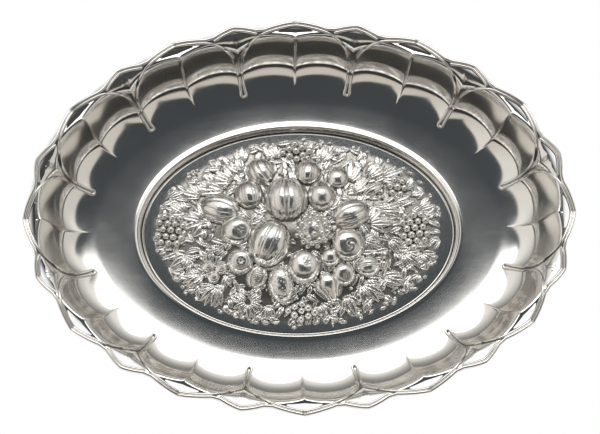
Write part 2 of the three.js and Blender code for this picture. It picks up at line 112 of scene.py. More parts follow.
# A hoop's legs: their distance from the rib line and the spread of their rounded tips; in shares of the run,
# the tips, where the legs part for the gable, and where they end; and how near the valley they stop
LEG_SPACING = HOOP_WIDTH / 2 + SEAM / 2
LEG_TIP_SPREAD = 0.7
LEG_TIP_LENGTH = 0.15
LEG_TIP_SHARE = 0.02
LEG_TIP_RUN = 0.045
LEG_PARTING = 0.4
LEG_POWER = 2.1
LEG_TOP = 0.80
LEG_STRAIGHT = 0.6
VALLEY_CLEARANCE = 0.012
GABLE_START = 0.005

# Collar and foot ledge, as insets from the shoulder ellipse and heights
SHOULDER_HALF_LENGTH = 111.3
SHOULDER_HALF_WIDTH = 76.1
FLARE_RUN = 3.6
FLARE_RISE = 0.7
SHOULDER_Z = FLOOR_Z + FLARE_RISE
COLLAR_TOP = (
    (8, SHEET), (3.2, SHEET), (2.9, 1.1), (2.75, 1.6), (1.6, 6.2), (1.3, 6.9), (0.95, 7.5),
    (0.45, SHOULDER_Z - 0.06),
)
COLLAR_UNDER = ((0.2, 6.85), (0.5, 6.55), (0.75, 5.8), (2.0, 0.5), (2.2, 0.1), (2.6, 0), (8, 0))


# Plan position

RIM_STEPS = 4000
rim_angles = np.linspace(0, 2 * np.pi, RIM_STEPS + 1)
rim_points = np.column_stack((RIM_HALF_LENGTH * np.cos(rim_angles), RIM_HALF_WIDTH * np.sin(rim_angles)))
rim_lengths = np.concatenate(([0.0], np.cumsum(np.linalg.norm(np.diff(rim_points, axis=0), axis=1))))
HALF_PITCH = rim_lengths[-1] / HALF_PITCHES


def rim_angle(station):
    """Angle on the rim ellipse of a station, which counts half pitches by arc length."""
    station = np.asarray(station, float)
    whole = np.floor(station / HALF_PITCHES)
    part = (station / HALF_PITCHES - whole) * rim_lengths[-1]
    return 2 * np.pi * whole + np.interp(part, rim_lengths, rim_angles)


def well_angle(station):
    angle = rim_angle(station)
    return angle - RIB_TWIST * np.sin(2 * angle)


def plan(station, share):
    """x and y of a station and a share, 0 on the well ellipse and 1 on the rim ellipse."""
    angle, well = rim_angle(station), well_angle(station)
    x = (1 - share) * WELL_HALF_LENGTH * np.cos(well) + share * RIM_HALF_LENGTH * np.cos(angle)
    y = (1 - share) * WELL_HALF_WIDTH * np.sin(well) + share * RIM_HALF_WIDTH * np.sin(angle)
    return x, y


def from_panel(station):
    """Distance from the nearest panel middle, 0 to 1."""
    return np.abs((np.asarray(station, float) + 1) % 2 - 1)


def outline(station):
    g = from_panel(station)
    u = np.where(g <= PANEL_SHARE, g / PANEL_SHARE, (1 - g) / SPANDREL_SHARE)
    return GABLE_TIP - GABLE_DEPTH * u ** GABLE_POWER


def inside_outline(station, inset):
    """A line parallel to the outline, a given distance inside it."""
    step = 0.02
    g = from_panel(station)
    rising = np.where(g <= PANEL_SHARE, np.abs(g - step), g + step)
    slope = np.abs(outline(rising) - outline(g)) * WALL_RUN / (step * HALF_PITCH)
    return outline(station) - inset * np.hypot(1, slope) / WALL_RUN


def pressed(station, crease):
    """How far a lobe stands out beyond its rib; its crease keeps a share of that, less the bead along it."""
    g = from_panel(station)
    lobe = 1 - np.abs(2 * g - 1) ** LOBE_FULLNESS
    kept = np.where(g < 0.5, crease + (1 - crease) * lobe, lobe)
    return LOBE_DEPTH * kept - CREASE_BEAD * np.exp(-(g / CREASE_HALF_WIDTH) ** 2)


def over_floor(station):
    """The way over the floor from the medallion's ring to the well ellipse, in x and y."""
    angle = well_angle(station)
    well_x, well_y = plan(station, 0.0)
    return well_x - SHOULDER_HALF_LENGTH * np.cos(angle), well_y - SHOULDER_HALF_WIDTH * np.sin(angle)


def floor_length(station):
    return np.hypot(*over_floor(station))


def spot(station, run):
    """x and y at a run out from the well ellipse, or in from it over the floor if the run is negative."""
    x, y = plan(station, np.maximum(run, 0) / WALL_RUN)
    floor_x, floor_y = over_floor(station)
    t = np.minimum(run, 0) / np.hypot(floor_x, floor_y)
    return x + t * floor_x, y + t * floor_y


def step_from(x, y, angle, along, across=0.0):
    """A place, moved along a direction and across it."""
    cosine, sine = math.cos(angle), math.sin(angle)
    return x + along * cosine - across * sine, y + along * sine + across * cosine


# Meshes

def link(name, data):
    made = bpy.data.objects.new(name, data)
    bpy.context.scene.collection.objects.link(made)
    return made


def mesh_object(name, points, faces, materials=()):
    mesh = bpy.data.meshes.new(name)
    mesh.from_pydata((np.asarray(points, float) * MM).tolist(), [], [tuple(map(int, f)) for f in faces])
    for material in materials:
        mesh.materials.append(material)
    mesh.validate()
    mesh.shade_smooth()
    return link(name, mesh)


def grid_faces(rows, columns, closed_rows=False):
    """Quads of a grid that closes round its columns, and its rows too if asked."""
    row = np.arange(rows if closed_rows else rows - 1)
    column = np.arange(columns)
    r, c = np.meshgrid(row, column, indexing="ij")
    here, ahead = r * columns + c, r * columns + (c + 1) % columns
    up = (r + 1) % rows
    here_up, ahead_up = up * columns + c, up * columns + (c + 1) % columns
    return np.stack((here, ahead, ahead_up, here_up), axis=-1).reshape(-1, 4)


def evaluated_mesh(made):
    graph = bpy.context.evaluated_depsgraph_get()
    return bpy.data.meshes.new_from_object(made.evaluated_get(graph), depsgraph=graph)


def mesh_points(made):
    points = np.empty(len(made.data.vertices) * 3, np.float32)
    made.data.vertices.foreach_get("co", points)
    return points.reshape(-1, 3)


def recess_of(made):
    """How deep each point lies in a groove, from 0 to 1, which the silver shows as dark; the same mark
    carries painted shade below the relief and on the plate's ground.
    """
    return made.data.attributes.get("recess") or made.data.attributes.new("recess", "FLOAT", "POINT")


def mark_recess(made, depth):
    recess_of(made).data.foreach_set("value", np.asarray(depth, np.float32).ravel())


def keep(made, nodes):
    """A finished piece rides on the bowl and stands for its CAD nodes, which are hidden."""
    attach(made, "root")
    if nodes:
        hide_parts(*nodes)


# Node trees

class Socket:
    """An output socket that can be used in Python arithmetic."""

    def __init__(self, tree, output):
        self.tree = tree
        self.output = output

    def maths(self, operation, *values):
        return self.tree.add("ShaderNodeMath", {"operation": operation}, *values)

    def __add__(self, other):
        return self.maths("ADD", self, other)

    def __radd__(self, other):
        return self.maths("ADD", other, self)

    def __sub__(self, other):
        return self.maths("SUBTRACT", self, other)

    def __rsub__(self, other):
        return self.maths("SUBTRACT", other, self)

    def __mul__(self, other):
        return self.maths("MULTIPLY", self, other)

    def __rmul__(self, other):
        return self.maths("MULTIPLY", other, self)

    def at_least(self, other):
        return self.maths("MAXIMUM", self, other)

    def clamp(self):
        return self.tree.add("ShaderNodeClamp", {}, self)


class Tree:
    """Adds nodes to a node tree: a type, its settings, and the values or links of its inputs."""

    def __init__(self, node_tree):
        self.node_tree = node_tree

    def add(self, kind, settings, *inputs, output=0, **named):
        node = self.node_tree.nodes.new(kind)
        for key, value in settings.items():
            setattr(node, key, value)
        for index, value in list(enumerate(inputs)) + list(named.items()):
            self.put(node, index, value)
        return Socket(self, node.outputs[output]) if node.outputs else None

    def put(self, node, index, value):
        if value is None:
            return
        target = node.inputs[index if isinstance(index, int) else index.replace("_", " ")]
        if isinstance(value, Socket):
            self.node_tree.links.new(value.output, target)
        else:
            target.default_value = value

    def mix_colours(self, share, first, second):
        """One colour turning into another."""
        node = self.add("ShaderNodeMix", {"data_type": "RGBA"}, share).output.node
        self.put(node, 6, first)
        self.put(node, 7, second)
        return Socket(self, node.outputs[2])

    def parts(self, vector):
        """The three parts of a vector."""
        node = self.add("ShaderNodeSeparateXYZ", {}, vector).output.node
        return [Socket(self, output) for output in node.outputs]


def geometry_tree(name, inputs):
    """A tree that works on a mesh, with named inputs: their names, kinds and first values."""
    tree = bpy.data.node_groups.new(name, "GeometryNodeTree")
    face = tree.interface
    face.new_socket("Geometry", in_out="INPUT", socket_type="NodeSocketGeometry")
    for socket_name, kind, value in inputs:
        face.new_socket(socket_name, in_out="INPUT", socket_type=kind).default_value = value
    face.new_socket("Geometry", in_out="OUTPUT", socket_type="NodeSocketGeometry")
    maker = Tree(tree)
    source = tree.nodes.new("NodeGroupInput")
    return maker, {socket.name: Socket(maker, socket) for socket in source.outputs if socket.name}


def finish_tree(maker, shape, material):
    """Ends a tree with real faces, shaded smooth, in one material."""
    whole = maker.add("GeometryNodeRealizeInstances", {}, shape)
    smooth = maker.add("GeometryNodeSetShadeSmooth", {}, whole)
    dressed = maker.add("GeometryNodeSetMaterial", {}, smooth, Material=material)
    maker.add("NodeGroupOutput", {}, dressed)
    return maker.node_tree


def guide(name, points, edges, attribute, vectors):
    """The points that a tree works on, with a vector at each."""
    mesh = bpy.data.meshes.new(name)
    mesh.from_pydata((np.asarray(points) * MM).tolist(), edges, [])
    at_points = mesh.attributes.new(attribute, "FLOAT_VECTOR", "POINT")
    at_points.data.foreach_set("vector", np.asarray(vectors, np.float32).ravel())
    return link(name, mesh)


def worked(made, tree, **sizes):
    """What a tree makes of a guide, as a plain mesh, with sizes for the tree's named inputs."""
    modifier = made.modifiers.new("tree", "NODES")
    modifier.node_group = tree
    for item in tree.interface.items_tree:
        if item.name in sizes:
            modifier[item.identifier] = sizes[item.name]
    mesh = evaluated_mesh(made)
    made.modifiers.remove(modifier)
    made.data = mesh
    return made


# Silver finishes

SILVER = (0.90, 0.885, 0.86, 1)
# The dark colour stands for tarnish in grooves and punched ground, and for painted shade on the wires' flanks
# and under the medallion's relief
TARNISH_AND_SHADE = (0.20, 0.18, 0.155, 1)

# Hair scratches along the bowl and strays across it, how dull they are, the faint waves of the sheet, and how
# dull its darkened marks are
HAIR_STRETCH = (5, 110, 110)
STRAY_STRETCH = (8, 120, 120)
STRAY_TURN = (0, 0, 1.3)
SCRATCH_START = 0.24
SCRATCH_CONTRAST = 5
SCRATCH_DULLNESS = 0.025
WAVE_HEIGHT = 0.055
DARKENED_DULLNESS = 0.2

# Grain and hammer blows of the chased silver, and the share of grain and dullness in the tarnish and painted
# shade of its recesses
GRAIN_IN_TARNISH_AND_SHADE = 0.7
GRAIN_IN_BUMP = 0.15
GRAIN_DULLNESS = 0.08
TARNISH_AND_SHADE_DULLNESS = 0.25


def new_material(name):
    material = bpy.data.materials.new(name)
    material.use_nodes = True
    material.node_tree.nodes.clear()
    return material, Tree(material.node_tree)


def silver_shader(tree, dark, dullness, bump):
    """Polished metal that turns to its dark colour where it is marked: tarnish in grooves and punched ground,
    and painted shade under the relief and on the wires' flanks.
    """
    shine = tree.add(
        "ShaderNodeBsdfPrincipled", {},
        Base_Color=tree.mix_colours(dark, SILVER, TARNISH_AND_SHADE),
        Metallic=1.0,
        Roughness=dullness.clamp(),
        Normal=bump,
    )
    tree.add("ShaderNodeOutputMaterial", {}, shine)


def polished_silver(name, roughness, scratch_depth, haze):
    """Hand-polished silver with faint waves, hair scratches and haze, darker where it is marked."""
    material, tree = new_material(name)
    place = tree.add("ShaderNodeTexCoord", {}, output=3)
    along = tree.add("ShaderNodeMapping", {}, place, Scale=HAIR_STRETCH)
    hairs = tree.add("ShaderNodeTexNoise", {}, along, Scale=6.0, Detail=4.0, Roughness=0.7)
    across = tree.add("ShaderNodeMapping", {}, place, Rotation=STRAY_TURN, Scale=STRAY_STRETCH)
    strays = tree.add("ShaderNodeTexNoise", {}, across, Scale=4.0, Detail=3.0, Roughness=0.75)
    clouds = tree.add("ShaderNodeTexNoise", {}, place, Scale=34.0, Detail=3.0, Roughness=0.6)
    waves = tree.add("ShaderNodeTexNoise", {}, place, Scale=22.0, Detail=1.0)
    scratches = ((hairs * strays - SCRATCH_START) * SCRATCH_CONTRAST).clamp()
    # Darker where marked: the punched ground on the shields, and painted shade on the wires' lower flanks.
    darkened = tree.add("ShaderNodeAttribute", {"attribute_name": "recess"}, output=2).clamp()
    height = waves * WAVE_HEIGHT + (hairs + strays) * scratch_depth
    bump = tree.add("ShaderNodeBump", {}, Strength=0.2, Distance=0.0003, Height=height)
    dullness = clouds * haze + scratches * SCRATCH_DULLNESS + darkened * DARKENED_DULLNESS + roughness
    silver_shader(tree, darkened, dullness, bump)
    return material


def chased_silver(name, roughness, grain_depth):
    """Worked silver with a fine grain, dark in its recesses with tarnish and painted shade."""
    material, tree = new_material(name)
    place = tree.add("ShaderNodeTexCoord", {}, output=3)
    recess = tree.add("ShaderNodeAttribute", {"attribute_name": "recess"}, output=2)
    grain = tree.add("ShaderNodeTexNoise", {}, place, Scale=700.0, Detail=3.0, Roughness=0.6)
    blows = tree.add("ShaderNodeTexNoise", {}, place, Scale=300.0, Detail=1.0)
    # Painted shade and tarnish: the marked recesses turn dark, broken up by the grain.
    tarnish_and_shade = (recess * (grain * GRAIN_IN_TARNISH_AND_SHADE + (1 - GRAIN_IN_TARNISH_AND_SHADE))).clamp()
    height = blows + grain * GRAIN_IN_BUMP
    bump = tree.add("ShaderNodeBump", {}, Strength=grain_depth, Distance=0.0006, Height=height)
    silver_shader(tree, tarnish_and_shade, tarnish_and_shade * TARNISH_AND_SHADE_DULLNESS + grain * GRAIN_DULLNESS + roughness, bump)
    return material


# The sheet body

# Stations of one half pitch, from a crease to a rib, closer together at both
FINE_PARTS = np.array((
    0, 0.004, 0.009, 0.014, 0.02, 0.032, 0.05, 0.08, 0.12, 0.17, 0.23, 0.30, 0.37,
    0.44, 0.51, 0.58, 0.65, 0.72, 0.78, 0.83, 0.87, 0.90, 0.925, 0.95, 0.97, 0.985,
))
# Rings in each stretch of the profile, from the medallion's ring out to the edge
FLARE_STEPS = 7
FLOOR_STEPS = 5
EASE_STEPS = 14
FOOT_STEPS = 4
BELLY_STEPS = 7
WALL_STEPS = 3
LIP_STEPS = 9
BORDER_STEPS = 9


def fine_stations():
    falling = 1 - FINE_PARTS[1:][::-1]
    whole = np.concatenate((FINE_PARTS, 1 + np.concatenate(([0], falling))))
    return np.concatenate([2 * panel + whole for panel in range(PANELS)])


def add_arc(runs, rises, radius, first, last, steps):
    """Goes on along an arc from one slope to another; a negative radius bends the other way."""
    from_run, from_rise = runs[-1], rises[-1]
    for turn in np.linspace(first, last, steps + 1)[1:]:
        runs.append(from_run + radius * (math.sin(turn) - math.sin(first)))
        rises.append(from_rise + radius * (math.cos(first) - math.cos(turn)))


def floor_rows(station):
    """The flare over the medallion's ring, the floor, and the ease in which the lobes begin."""
    out = pressed(station, CREASE_FOOT)
    flat_start = FLARE_RUN - floor_length(station)
    ease_start = np.full_like(out, EASE_START)
    runs, rises = [], []
    for t in np.linspace(0, 1, FLARE_STEPS)[:-1]:
        runs.append(flat_start - FLARE_RUN * (1 - t))
        rises.append(np.full_like(out, FLARE_RISE * (1 - t) ** 2))
    for t in np.linspace(0, 1, FLOOR_STEPS + 1)[:-1]:
        past = (ease_start - flat_start) * t
        runs.append(flat_start + past)
        rises.append(past ** 2 / (2 * FLOOR_RADIUS))
    floor_turn = (ease_start - flat_start) / FLOOR_RADIUS
    floor_rise = (ease_start - flat_start) ** 2 / (2 * FLOOR_RADIUS)
    for t in np.linspace(0, 1, EASE_STEPS + 1):
        turn = floor_turn + (EASE_ANGLE - floor_turn) * t
        part = np.clip((turn - LOBE_TURNS[0]) / (LOBE_TURNS[1] - LOBE_TURNS[0]), 0, 1)
        run = ease_start + EASE_RADIUS * (np.sin(turn) - np.sin(floor_turn))
        runs.append(run + out * part * part * (3 - 2 * part))
        rises.append(floor_rise + EASE_RADIUS * (np.cos(floor_turn) - np.cos(turn)))
    return runs, rises


def lip_start(station, edge):
    """Where the straight wall ends, and the radius of the lip, small at a crease and wide at a rib."""
    top_out = pressed(station, CREASE_LIP)
    corner_run = CORNER_RUN + top_out
    corner_rise = CORNER_RISE + top_out * math.tan(BORDER_ANGLE)
    half_turn = math.tan((WALL_ANGLE - BORDER_ANGLE) / 2)
    radius = LIP_RADIUS + (SHOULDER_RADIUS - LIP_RADIUS) * from_panel(station) ** 3
    radius = np.minimum(radius, (edge - LEAST_BORDER - corner_run) / math.cos(BORDER_ANGLE) / half_turn)
    run = corner_run - radius * half_turn * math.cos(WALL_ANGLE)
    rise = corner_rise - radius * half_turn * math.sin(WALL_ANGLE)
    return run, rise, radius


def sheet_columns(station):
    """Runs and heights from the medallion's ring over the floor, up the wall and out over the border."""
    edge = inside_outline(station, RIM_WIRE_INSET / 2) * WALL_RUN
    lip_run, lip_rise, lip_radius = lip_start(station, edge)
    runs, rises = floor_rows(station)
    add_arc(runs, rises, FOOT_RADIUS, EASE_ANGLE, FOOT_ANGLE, FOOT_STEPS)
    add_arc(runs, rises, WALL_RADIUS, FOOT_ANGLE, WALL_ANGLE, BELLY_STEPS)
    wall_run, wall_rise = runs[-1], rises[-1]
    for t in np.linspace(0, 1, WALL_STEPS + 1)[1:-1]:
        runs.append(wall_run + (lip_run - wall_run) * t)
        rises.append(wall_rise + (lip_rise - wall_rise) * t)
    runs.append(lip_run)
    rises.append(lip_rise)
    add_arc(runs, rises, -lip_radius, WALL_ANGLE, BORDER_ANGLE, LIP_STEPS)
    border_run, border_rise = runs[-1], rises[-1]
    for t in np.linspace(0, 1, BORDER_STEPS + 1)[1:]:
        past = (edge - border_run) * t
        runs.append(border_run + past)
        rises.append(border_rise + past * math.tan(BORDER_ANGLE) - past ** 2 / (2 * CROWN_RADIUS))
    return np.array(runs), FLOOR_Z + np.array(rises)


# Chasing on each spandrel shield: a pellet with a scroll on either side, on a dark punched diamond
PELLET_SHARE = 0.71
PELLET_HEIGHT = 0.7
PELLET_SPREAD = 0.9
SCROLL_HEIGHT = 0.5
SCROLL_ASIDE = 1.9
SCROLL_UP = 0.6
SCROLL_HALF_WIDTH = 0.5
SCROLL_HALF_LENGTH = 1.3
DIAMOND_HALF_WIDTH = 2.4
DIAMOND_HALF_HEIGHT = 3.0
DIAMOND_DOWN = 0.3
DIAMOND_DARKNESS = 1.5
CHASING_BRIGHTNESS = 2.2


def from_pellet(station, share):
    return (1 - from_panel(station)) * HALF_PITCH, (share - PELLET_SHARE) * WALL_RUN


def pellet_height(station, share):
    aside, up = from_pellet(station, share)
    pellet = PELLET_HEIGHT * np.exp(-(aside ** 2 + up ** 2) / PELLET_SPREAD)
    scroll_aside = (aside - SCROLL_ASIDE) / SCROLL_HALF_WIDTH
    scroll_up = (up - SCROLL_UP) / SCROLL_HALF_LENGTH
    return pellet + SCROLL_HEIGHT * np.exp(-scroll_aside ** 2 - scroll_up ** 2)


def pellet_ground(station, share):
    """How dark the punched ground is; the pellet and its scrolls stay bright."""
    aside, up = from_pellet(station, share)
    off_middle = np.abs(aside) / DIAMOND_HALF_WIDTH + np.abs(up + DIAMOND_DOWN) / DIAMOND_HALF_HEIGHT
    bright = np.clip(pellet_height(station, share) * CHASING_BRIGHTNESS, 0, 1)
    return np.clip(DIAMOND_DARKNESS - off_middle, 0, 1) * (1 - bright)


def collar_rings(profile):
    """Rings of the collar from their insets and heights."""
    angle = well_angle(fine_stations())
    rings = []
    for inset, z in profile:
        x = (SHOULDER_HALF_LENGTH - inset) * np.cos(angle)
        y = (SHOULDER_HALF_WIDTH - inset) * np.sin(angle)
        rings.append(np.column_stack((x, y, np.full_like(x, z))))
    return np.array(rings)


def sheet_rings():
    """Upper face of the body, ring by ring, from the foot ledge out to the edge."""
    station = fine_stations()
    rings = list(collar_rings(COLLAR_TOP))
    for run, height in zip(*sheet_columns(station)):
        x, y = spot(station, run)
        rings.append(np.column_stack((x, y, height + pellet_height(station, run / WALL_RUN))))
    return np.array(rings)


def ring_normals(rings):
    """Upward unit normals of a grid of rings."""
    along = np.roll(rings, -1, axis=1) - np.roll(rings, 1, axis=1)
    out = np.gradient(rings, axis=0)
    normal = np.cross(along, out)
    normal /= np.maximum(np.linalg.norm(normal, axis=2, keepdims=True), 1e-9)
    return normal * np.where(normal[..., 2:3] < 0, -1, 1)

# Piercings: how far they reach to either side, in half pitches, and their inner edges, in shares of the run
PANEL_PIERCING_REACH = 0.29
PANEL_PIERCING_FOOT = 0.758
PANEL_PIERCING_DROP = 0.024
PANEL_PIERCING_CORNER = 0.015
PIERCING_LEAST = 0.006
SPANDREL_PIERCING_REACH = 0.31
SHIELD_TOP = 0.785
SHIELD_FLANK = 0.55
SHIELD_FALL = 0.04
SHIELD_END = 0.4
SHIELD_END_RISE = 0.015
CUTTER_HEIGHT = 24.0
EDGE_ANGLE = math.radians(40)


def cutter(outer_station, outer_share, inner_station, inner_share):
    """A closed outline of stations and shares, drawn up through the border."""
    station = np.concatenate((outer_station, inner_station[::-1]))
    x, y = plan(station, np.concatenate((outer_share, inner_share[::-1])))
    count = len(x)
    low = np.column_stack((x, y, np.full(count, BORDER_Z - CUTTER_HEIGHT / 2)))
    high = low + (0, 0, CUTTER_HEIGHT)
    faces = [tuple(range(count))[::-1], tuple(range(count, 2 * count))]
    faces += [(i, (i + 1) % count, count + (i + 1) % count, count + i) for i in range(count)]
    return mesh_object("cutter", np.concatenate((low, high)), faces)


def panel_piercing(middle):
    """A low triangle under a panel's gable, with a slight point down at the crease."""
    u = np.linspace(-1, 1, 25)
    v = np.linspace(-0.97, 0.97, 19)
    outer_station = middle + u * PANEL_PIERCING_REACH
    inner_station = middle + v * PANEL_PIERCING_REACH
    outer_share = inside_outline(outer_station, MOULDING) - PANEL_PIERCING_CORNER * np.abs(u) ** 6
    inner_share = PANEL_PIERCING_FOOT + PANEL_PIERCING_DROP * np.abs(v) ** 0.8
    inner_share = np.minimum(inner_share, inside_outline(inner_station, MOULDING) - PIERCING_LEAST)
    return cutter(outer_station, outer_share, inner_station, inner_share)


def spandrel_piercing(middle):
    """A bent band under a spandrel's gable, over the pointed top of the shield."""
    u = np.linspace(-1, 1, 25)
    v = np.linspace(-0.95, 0.95, 31)
    outer_station = middle + u * SPANDREL_PIERCING_REACH
    inner_station = middle + v * SPANDREL_PIERCING_REACH
    outer_share = inside_outline(outer_station, MOULDING)
    flank = np.minimum(1, np.abs(v) / SHIELD_FLANK)
    end = np.maximum(0, np.abs(v) - SHIELD_FLANK)
    inner_share = SHIELD_TOP - SHIELD_FALL * flank + SHIELD_END_RISE * end / SHIELD_END
    return cutter(outer_station, outer_share, inner_station, inner_share)


def bowl_shell(material):
    top = sheet_rings()
    collar = len(COLLAR_TOP)
    normals = ring_normals(top)
    normals[:collar] = (0, 0, 1)
    under = (top - normals * SHEET)[collar:][::-1]
    rings = np.concatenate((top, under, collar_rings(COLLAR_UNDER)))
    faces = grid_faces(len(rings), rings.shape[1], closed_rows=True)
    body = mesh_object("bowl_body", rings.reshape(-1, 3), faces, [material])
    station = fine_stations()
    runs, _ = sheet_columns(station)
    darkened = np.zeros(rings.shape[:2])
    darkened[collar:len(top)] = pellet_ground(station[None, :], runs / WALL_RUN)
    mark_recess(body, darkened)
    return cut_piercings(body)


def cut_piercings(body):
    cutters = []
    for panel in range(PANELS):
        cutters += [panel_piercing(2 * panel), spandrel_piercing(2 * panel + 1)]
    bpy.ops.object.select_all(action="DESELECT")
    for piece in cutters:
        piece.select_set(True)
    bpy.context.view_layer.objects.active = cutters[0]
    bpy.ops.object.join()
    bore = body.modifiers.new("piercings", "BOOLEAN")
    bore.operation = "DIFFERENCE"
    bore.solver = "EXACT"
    bore.object = cutters[0]
    mesh = evaluated_mesh(body)
    body.modifiers.remove(bore)
    body.data = mesh
    bpy.data.objects.remove(cutters[0])
    mesh.shade_smooth()
    mesh.set_sharp_from_angle(angle=EDGE_ANGLE)
    return body


# Where the wires stand: the sheet's upper face read as a height over stations and shares

class SheetFace:
    """Height and slope of the upper face at any station and share, from the fine columns."""

    def __init__(self):
        self.station = fine_stations()
        runs, self.height = sheet_columns(self.station)
        self.share = runs / WALL_RUN

    def height_at(self, station, share):
        place = float(station) % HALF_PITCHES
        left = int(np.searchsorted(self.station, place, side="right")) - 1
        right = (left + 1) % len(self.station)
        gap = (self.station[right] - self.station[left]) % HALF_PITCHES
        t = (place - self.station[left]) / gap
        low = np.interp(share, self.share[:, left], self.height[:, left])
        high = np.interp(share, self.share[:, right], self.height[:, right])
        return low * (1 - t) + high * t

    def point(self, station, share):
        x, y = spot(station, share * WALL_RUN)
        return np.array((float(x), float(y), float(self.height_at(station, share))))

    def normal(self, station, share):
        step_station, step_share = 0.03, 0.012
        along = self.point(station + step_station, share) - self.point(station - step_station, share)
        out = self.point(station, share + step_share) - self.point(station, share - step_share)
        normal = np.cross(along, out)
        normal /= np.linalg.norm(normal)
        return normal if normal[2] > 0 else -normal

# Wires

def wire_tree(material):
    """Sweeps a half-round section along a line, its back seated in the sheet and painted shade marked on its
    lower flanks.
    """
    maker, given = geometry_tree("half_round_wire", (
        ("Width", "NodeSocketFloat", HOOP_WIDTH * MM),
        ("Height", "NodeSocketFloat", HOOP_HEIGHT * MM),
        ("Seat", "NodeSocketFloat", WIRE_SEAT * MM),
    ))
    line = maker.add("GeometryNodeMeshToCurve", {}, given["Geometry"])
    up = maker.add("GeometryNodeInputNamedAttribute", {"data_type": "FLOAT_VECTOR"}, "up")
    framed = maker.add("GeometryNodeSetCurveNormal", {"mode": "FREE"}, line, Normal=up)
    circle = maker.add("GeometryNodeCurvePrimitiveCircle", {"mode": "RADIUS"}, WIRE_SIDES, Radius=1.0)
    rise, side, _ = maker.parts(maker.add("GeometryNodeInputPosition", {}))
    foot = (given["Height"] - given["Width"] * 0.5) * (rise * WIRE_CORNER).clamp()
    raised = (rise * given["Width"] * 0.5 + foot).at_least(given["Seat"] * -1.0)
    place = maker.add("ShaderNodeCombineXYZ", {}, raised, side * given["Width"] * 0.5)
    # Painted shade: the lower flanks of the section are marked dark, and the wire silver shows them in its
    # dark colour.
    flank = ((SHADED_FLANK_TOP - rise) * WIRE_CORNER).clamp()
    marked = maker.add("GeometryNodeStoreNamedAttribute", {"data_type": "FLOAT", "domain": "POINT"},
                       circle, None, "recess", flank)
    section = maker.add("GeometryNodeSetPosition", {}, marked, Position=place)
    swept = maker.add("GeometryNodeCurveToMesh", {}, framed, section, Fill_Caps=True)
    return finish_tree(maker, swept, material)


def wire(name, route, face, tree, width, height, closed=False):
    points = [face.point(*place) for place in route]
    ups = [face.normal(*place) for place in route]
    edges = [(i, i + 1) for i in range(len(points) - 1)]
    if closed:
        edges.append((len(points) - 1, 0))
    return worked(guide(name, points, edges, "up", ups), tree, Width=width * MM, Height=height * MM)


def leg_offset(share):
    """How far a hoop's leg stands from the rib line, in half pitches."""
    half_pitch = (WELL_HALF_LENGTH / RIM_HALF_LENGTH * (1 - share) + share) * HALF_PITCH
    tip = np.maximum(0, 1 - share / LEG_TIP_LENGTH)
    beside = (LEG_SPACING + LEG_TIP_SPREAD * tip ** 2) / half_pitch
    valley = inside_outline(PANEL_SHARE, REED_INSET)
    parted = np.maximum(0, (share - LEG_PARTING) / (valley - LEG_PARTING))
    return beside + (SPANDREL_SHARE - beside) * parted ** LEG_POWER


def hoop_route(middle):
    """From the tip of one leg, up over the gable and down to the tip of the other."""
    tip_offset = float(leg_offset(LEG_TIP_SHARE))
    half = []
    for turn in np.linspace(0.5, 0.0, 7)[:-1] * np.pi:
        half.append((1 - tip_offset * math.cos(turn), LEG_TIP_SHARE - LEG_TIP_RUN * math.sin(turn)))
    for share in np.linspace(LEG_TIP_SHARE, LEG_TOP, 60):
        g = 1 - float(leg_offset(share))
        if g > PANEL_SHARE + VALLEY_CLEARANCE or share < LEG_STRAIGHT:
            half.append((g, share))
    for g in np.linspace(PANEL_SHARE - GABLE_START, 0, 26):
        half.append((g, float(inside_outline(g, REED_INSET))))
    left = [(middle - g, share) for g, share in half]
    right = [(middle + g, share) for g, share in half[:-1][::-1]]
    return left + right


def border_route(stations, inset):
    """A line round the border at a distance inside its outline."""
    return [(station, float(inside_outline(station, inset))) for station in stations]


def make_wires(material):
    face = SheetFace()
    tree = wire_tree(material)
    rim_route = border_route(fine_stations()[::2], RIM_WIRE_INSET)
    rim = wire("rim_moulding", rim_route, face, tree, RIM_WIRE_WIDTH, RIM_WIRE_HEIGHT, closed=True)
    keep(rim, ["rim_wire"])
    for panel in range(PANELS):
        number = f"{panel + 1:02d}"
        hoop = wire(f"hoop_{number}", hoop_route(2 * panel), face, tree, HOOP_WIDTH, HOOP_HEIGHT)
        keep(hoop, [f"panel_hoop_{number}"])
        reed_route = border_route(2 * panel + 1 + np.linspace(-1, 1, 33) * REED_REACH, REED_INSET)
        reed = wire(f"reed_{number}", reed_route, face, tree, HOOP_WIDTH, HOOP_HEIGHT)
        keep(reed, [f"spandrel_reed_{number}"])


# The medallion's plate, pressed from one sheet, with shallow hollows behind the fruit

PLATE_INSET = 3.4
PLATE_HALF_LENGTH = SHOULDER_HALF_LENGTH - PLATE_INSET
PLATE_HALF_WIDTH = SHOULDER_HALF_WIDTH - PLATE_INSET
PLATE_Z = SHEET + SEAM
PLATE_PROFILE = ((0, 0), (0.12, 0), (0.32, 1.2), (0.6, 4.6), (1, 6.6))
PLATE_ROWS = 72
PLATE_COLUMNS = 240
PROFILE_POINTS = 401
PROFILE_BLUR = 14
RELIEF_SINK = 0.5
HOLLOW_SHARE = 0.8
UNDER_FRUIT = 0.6

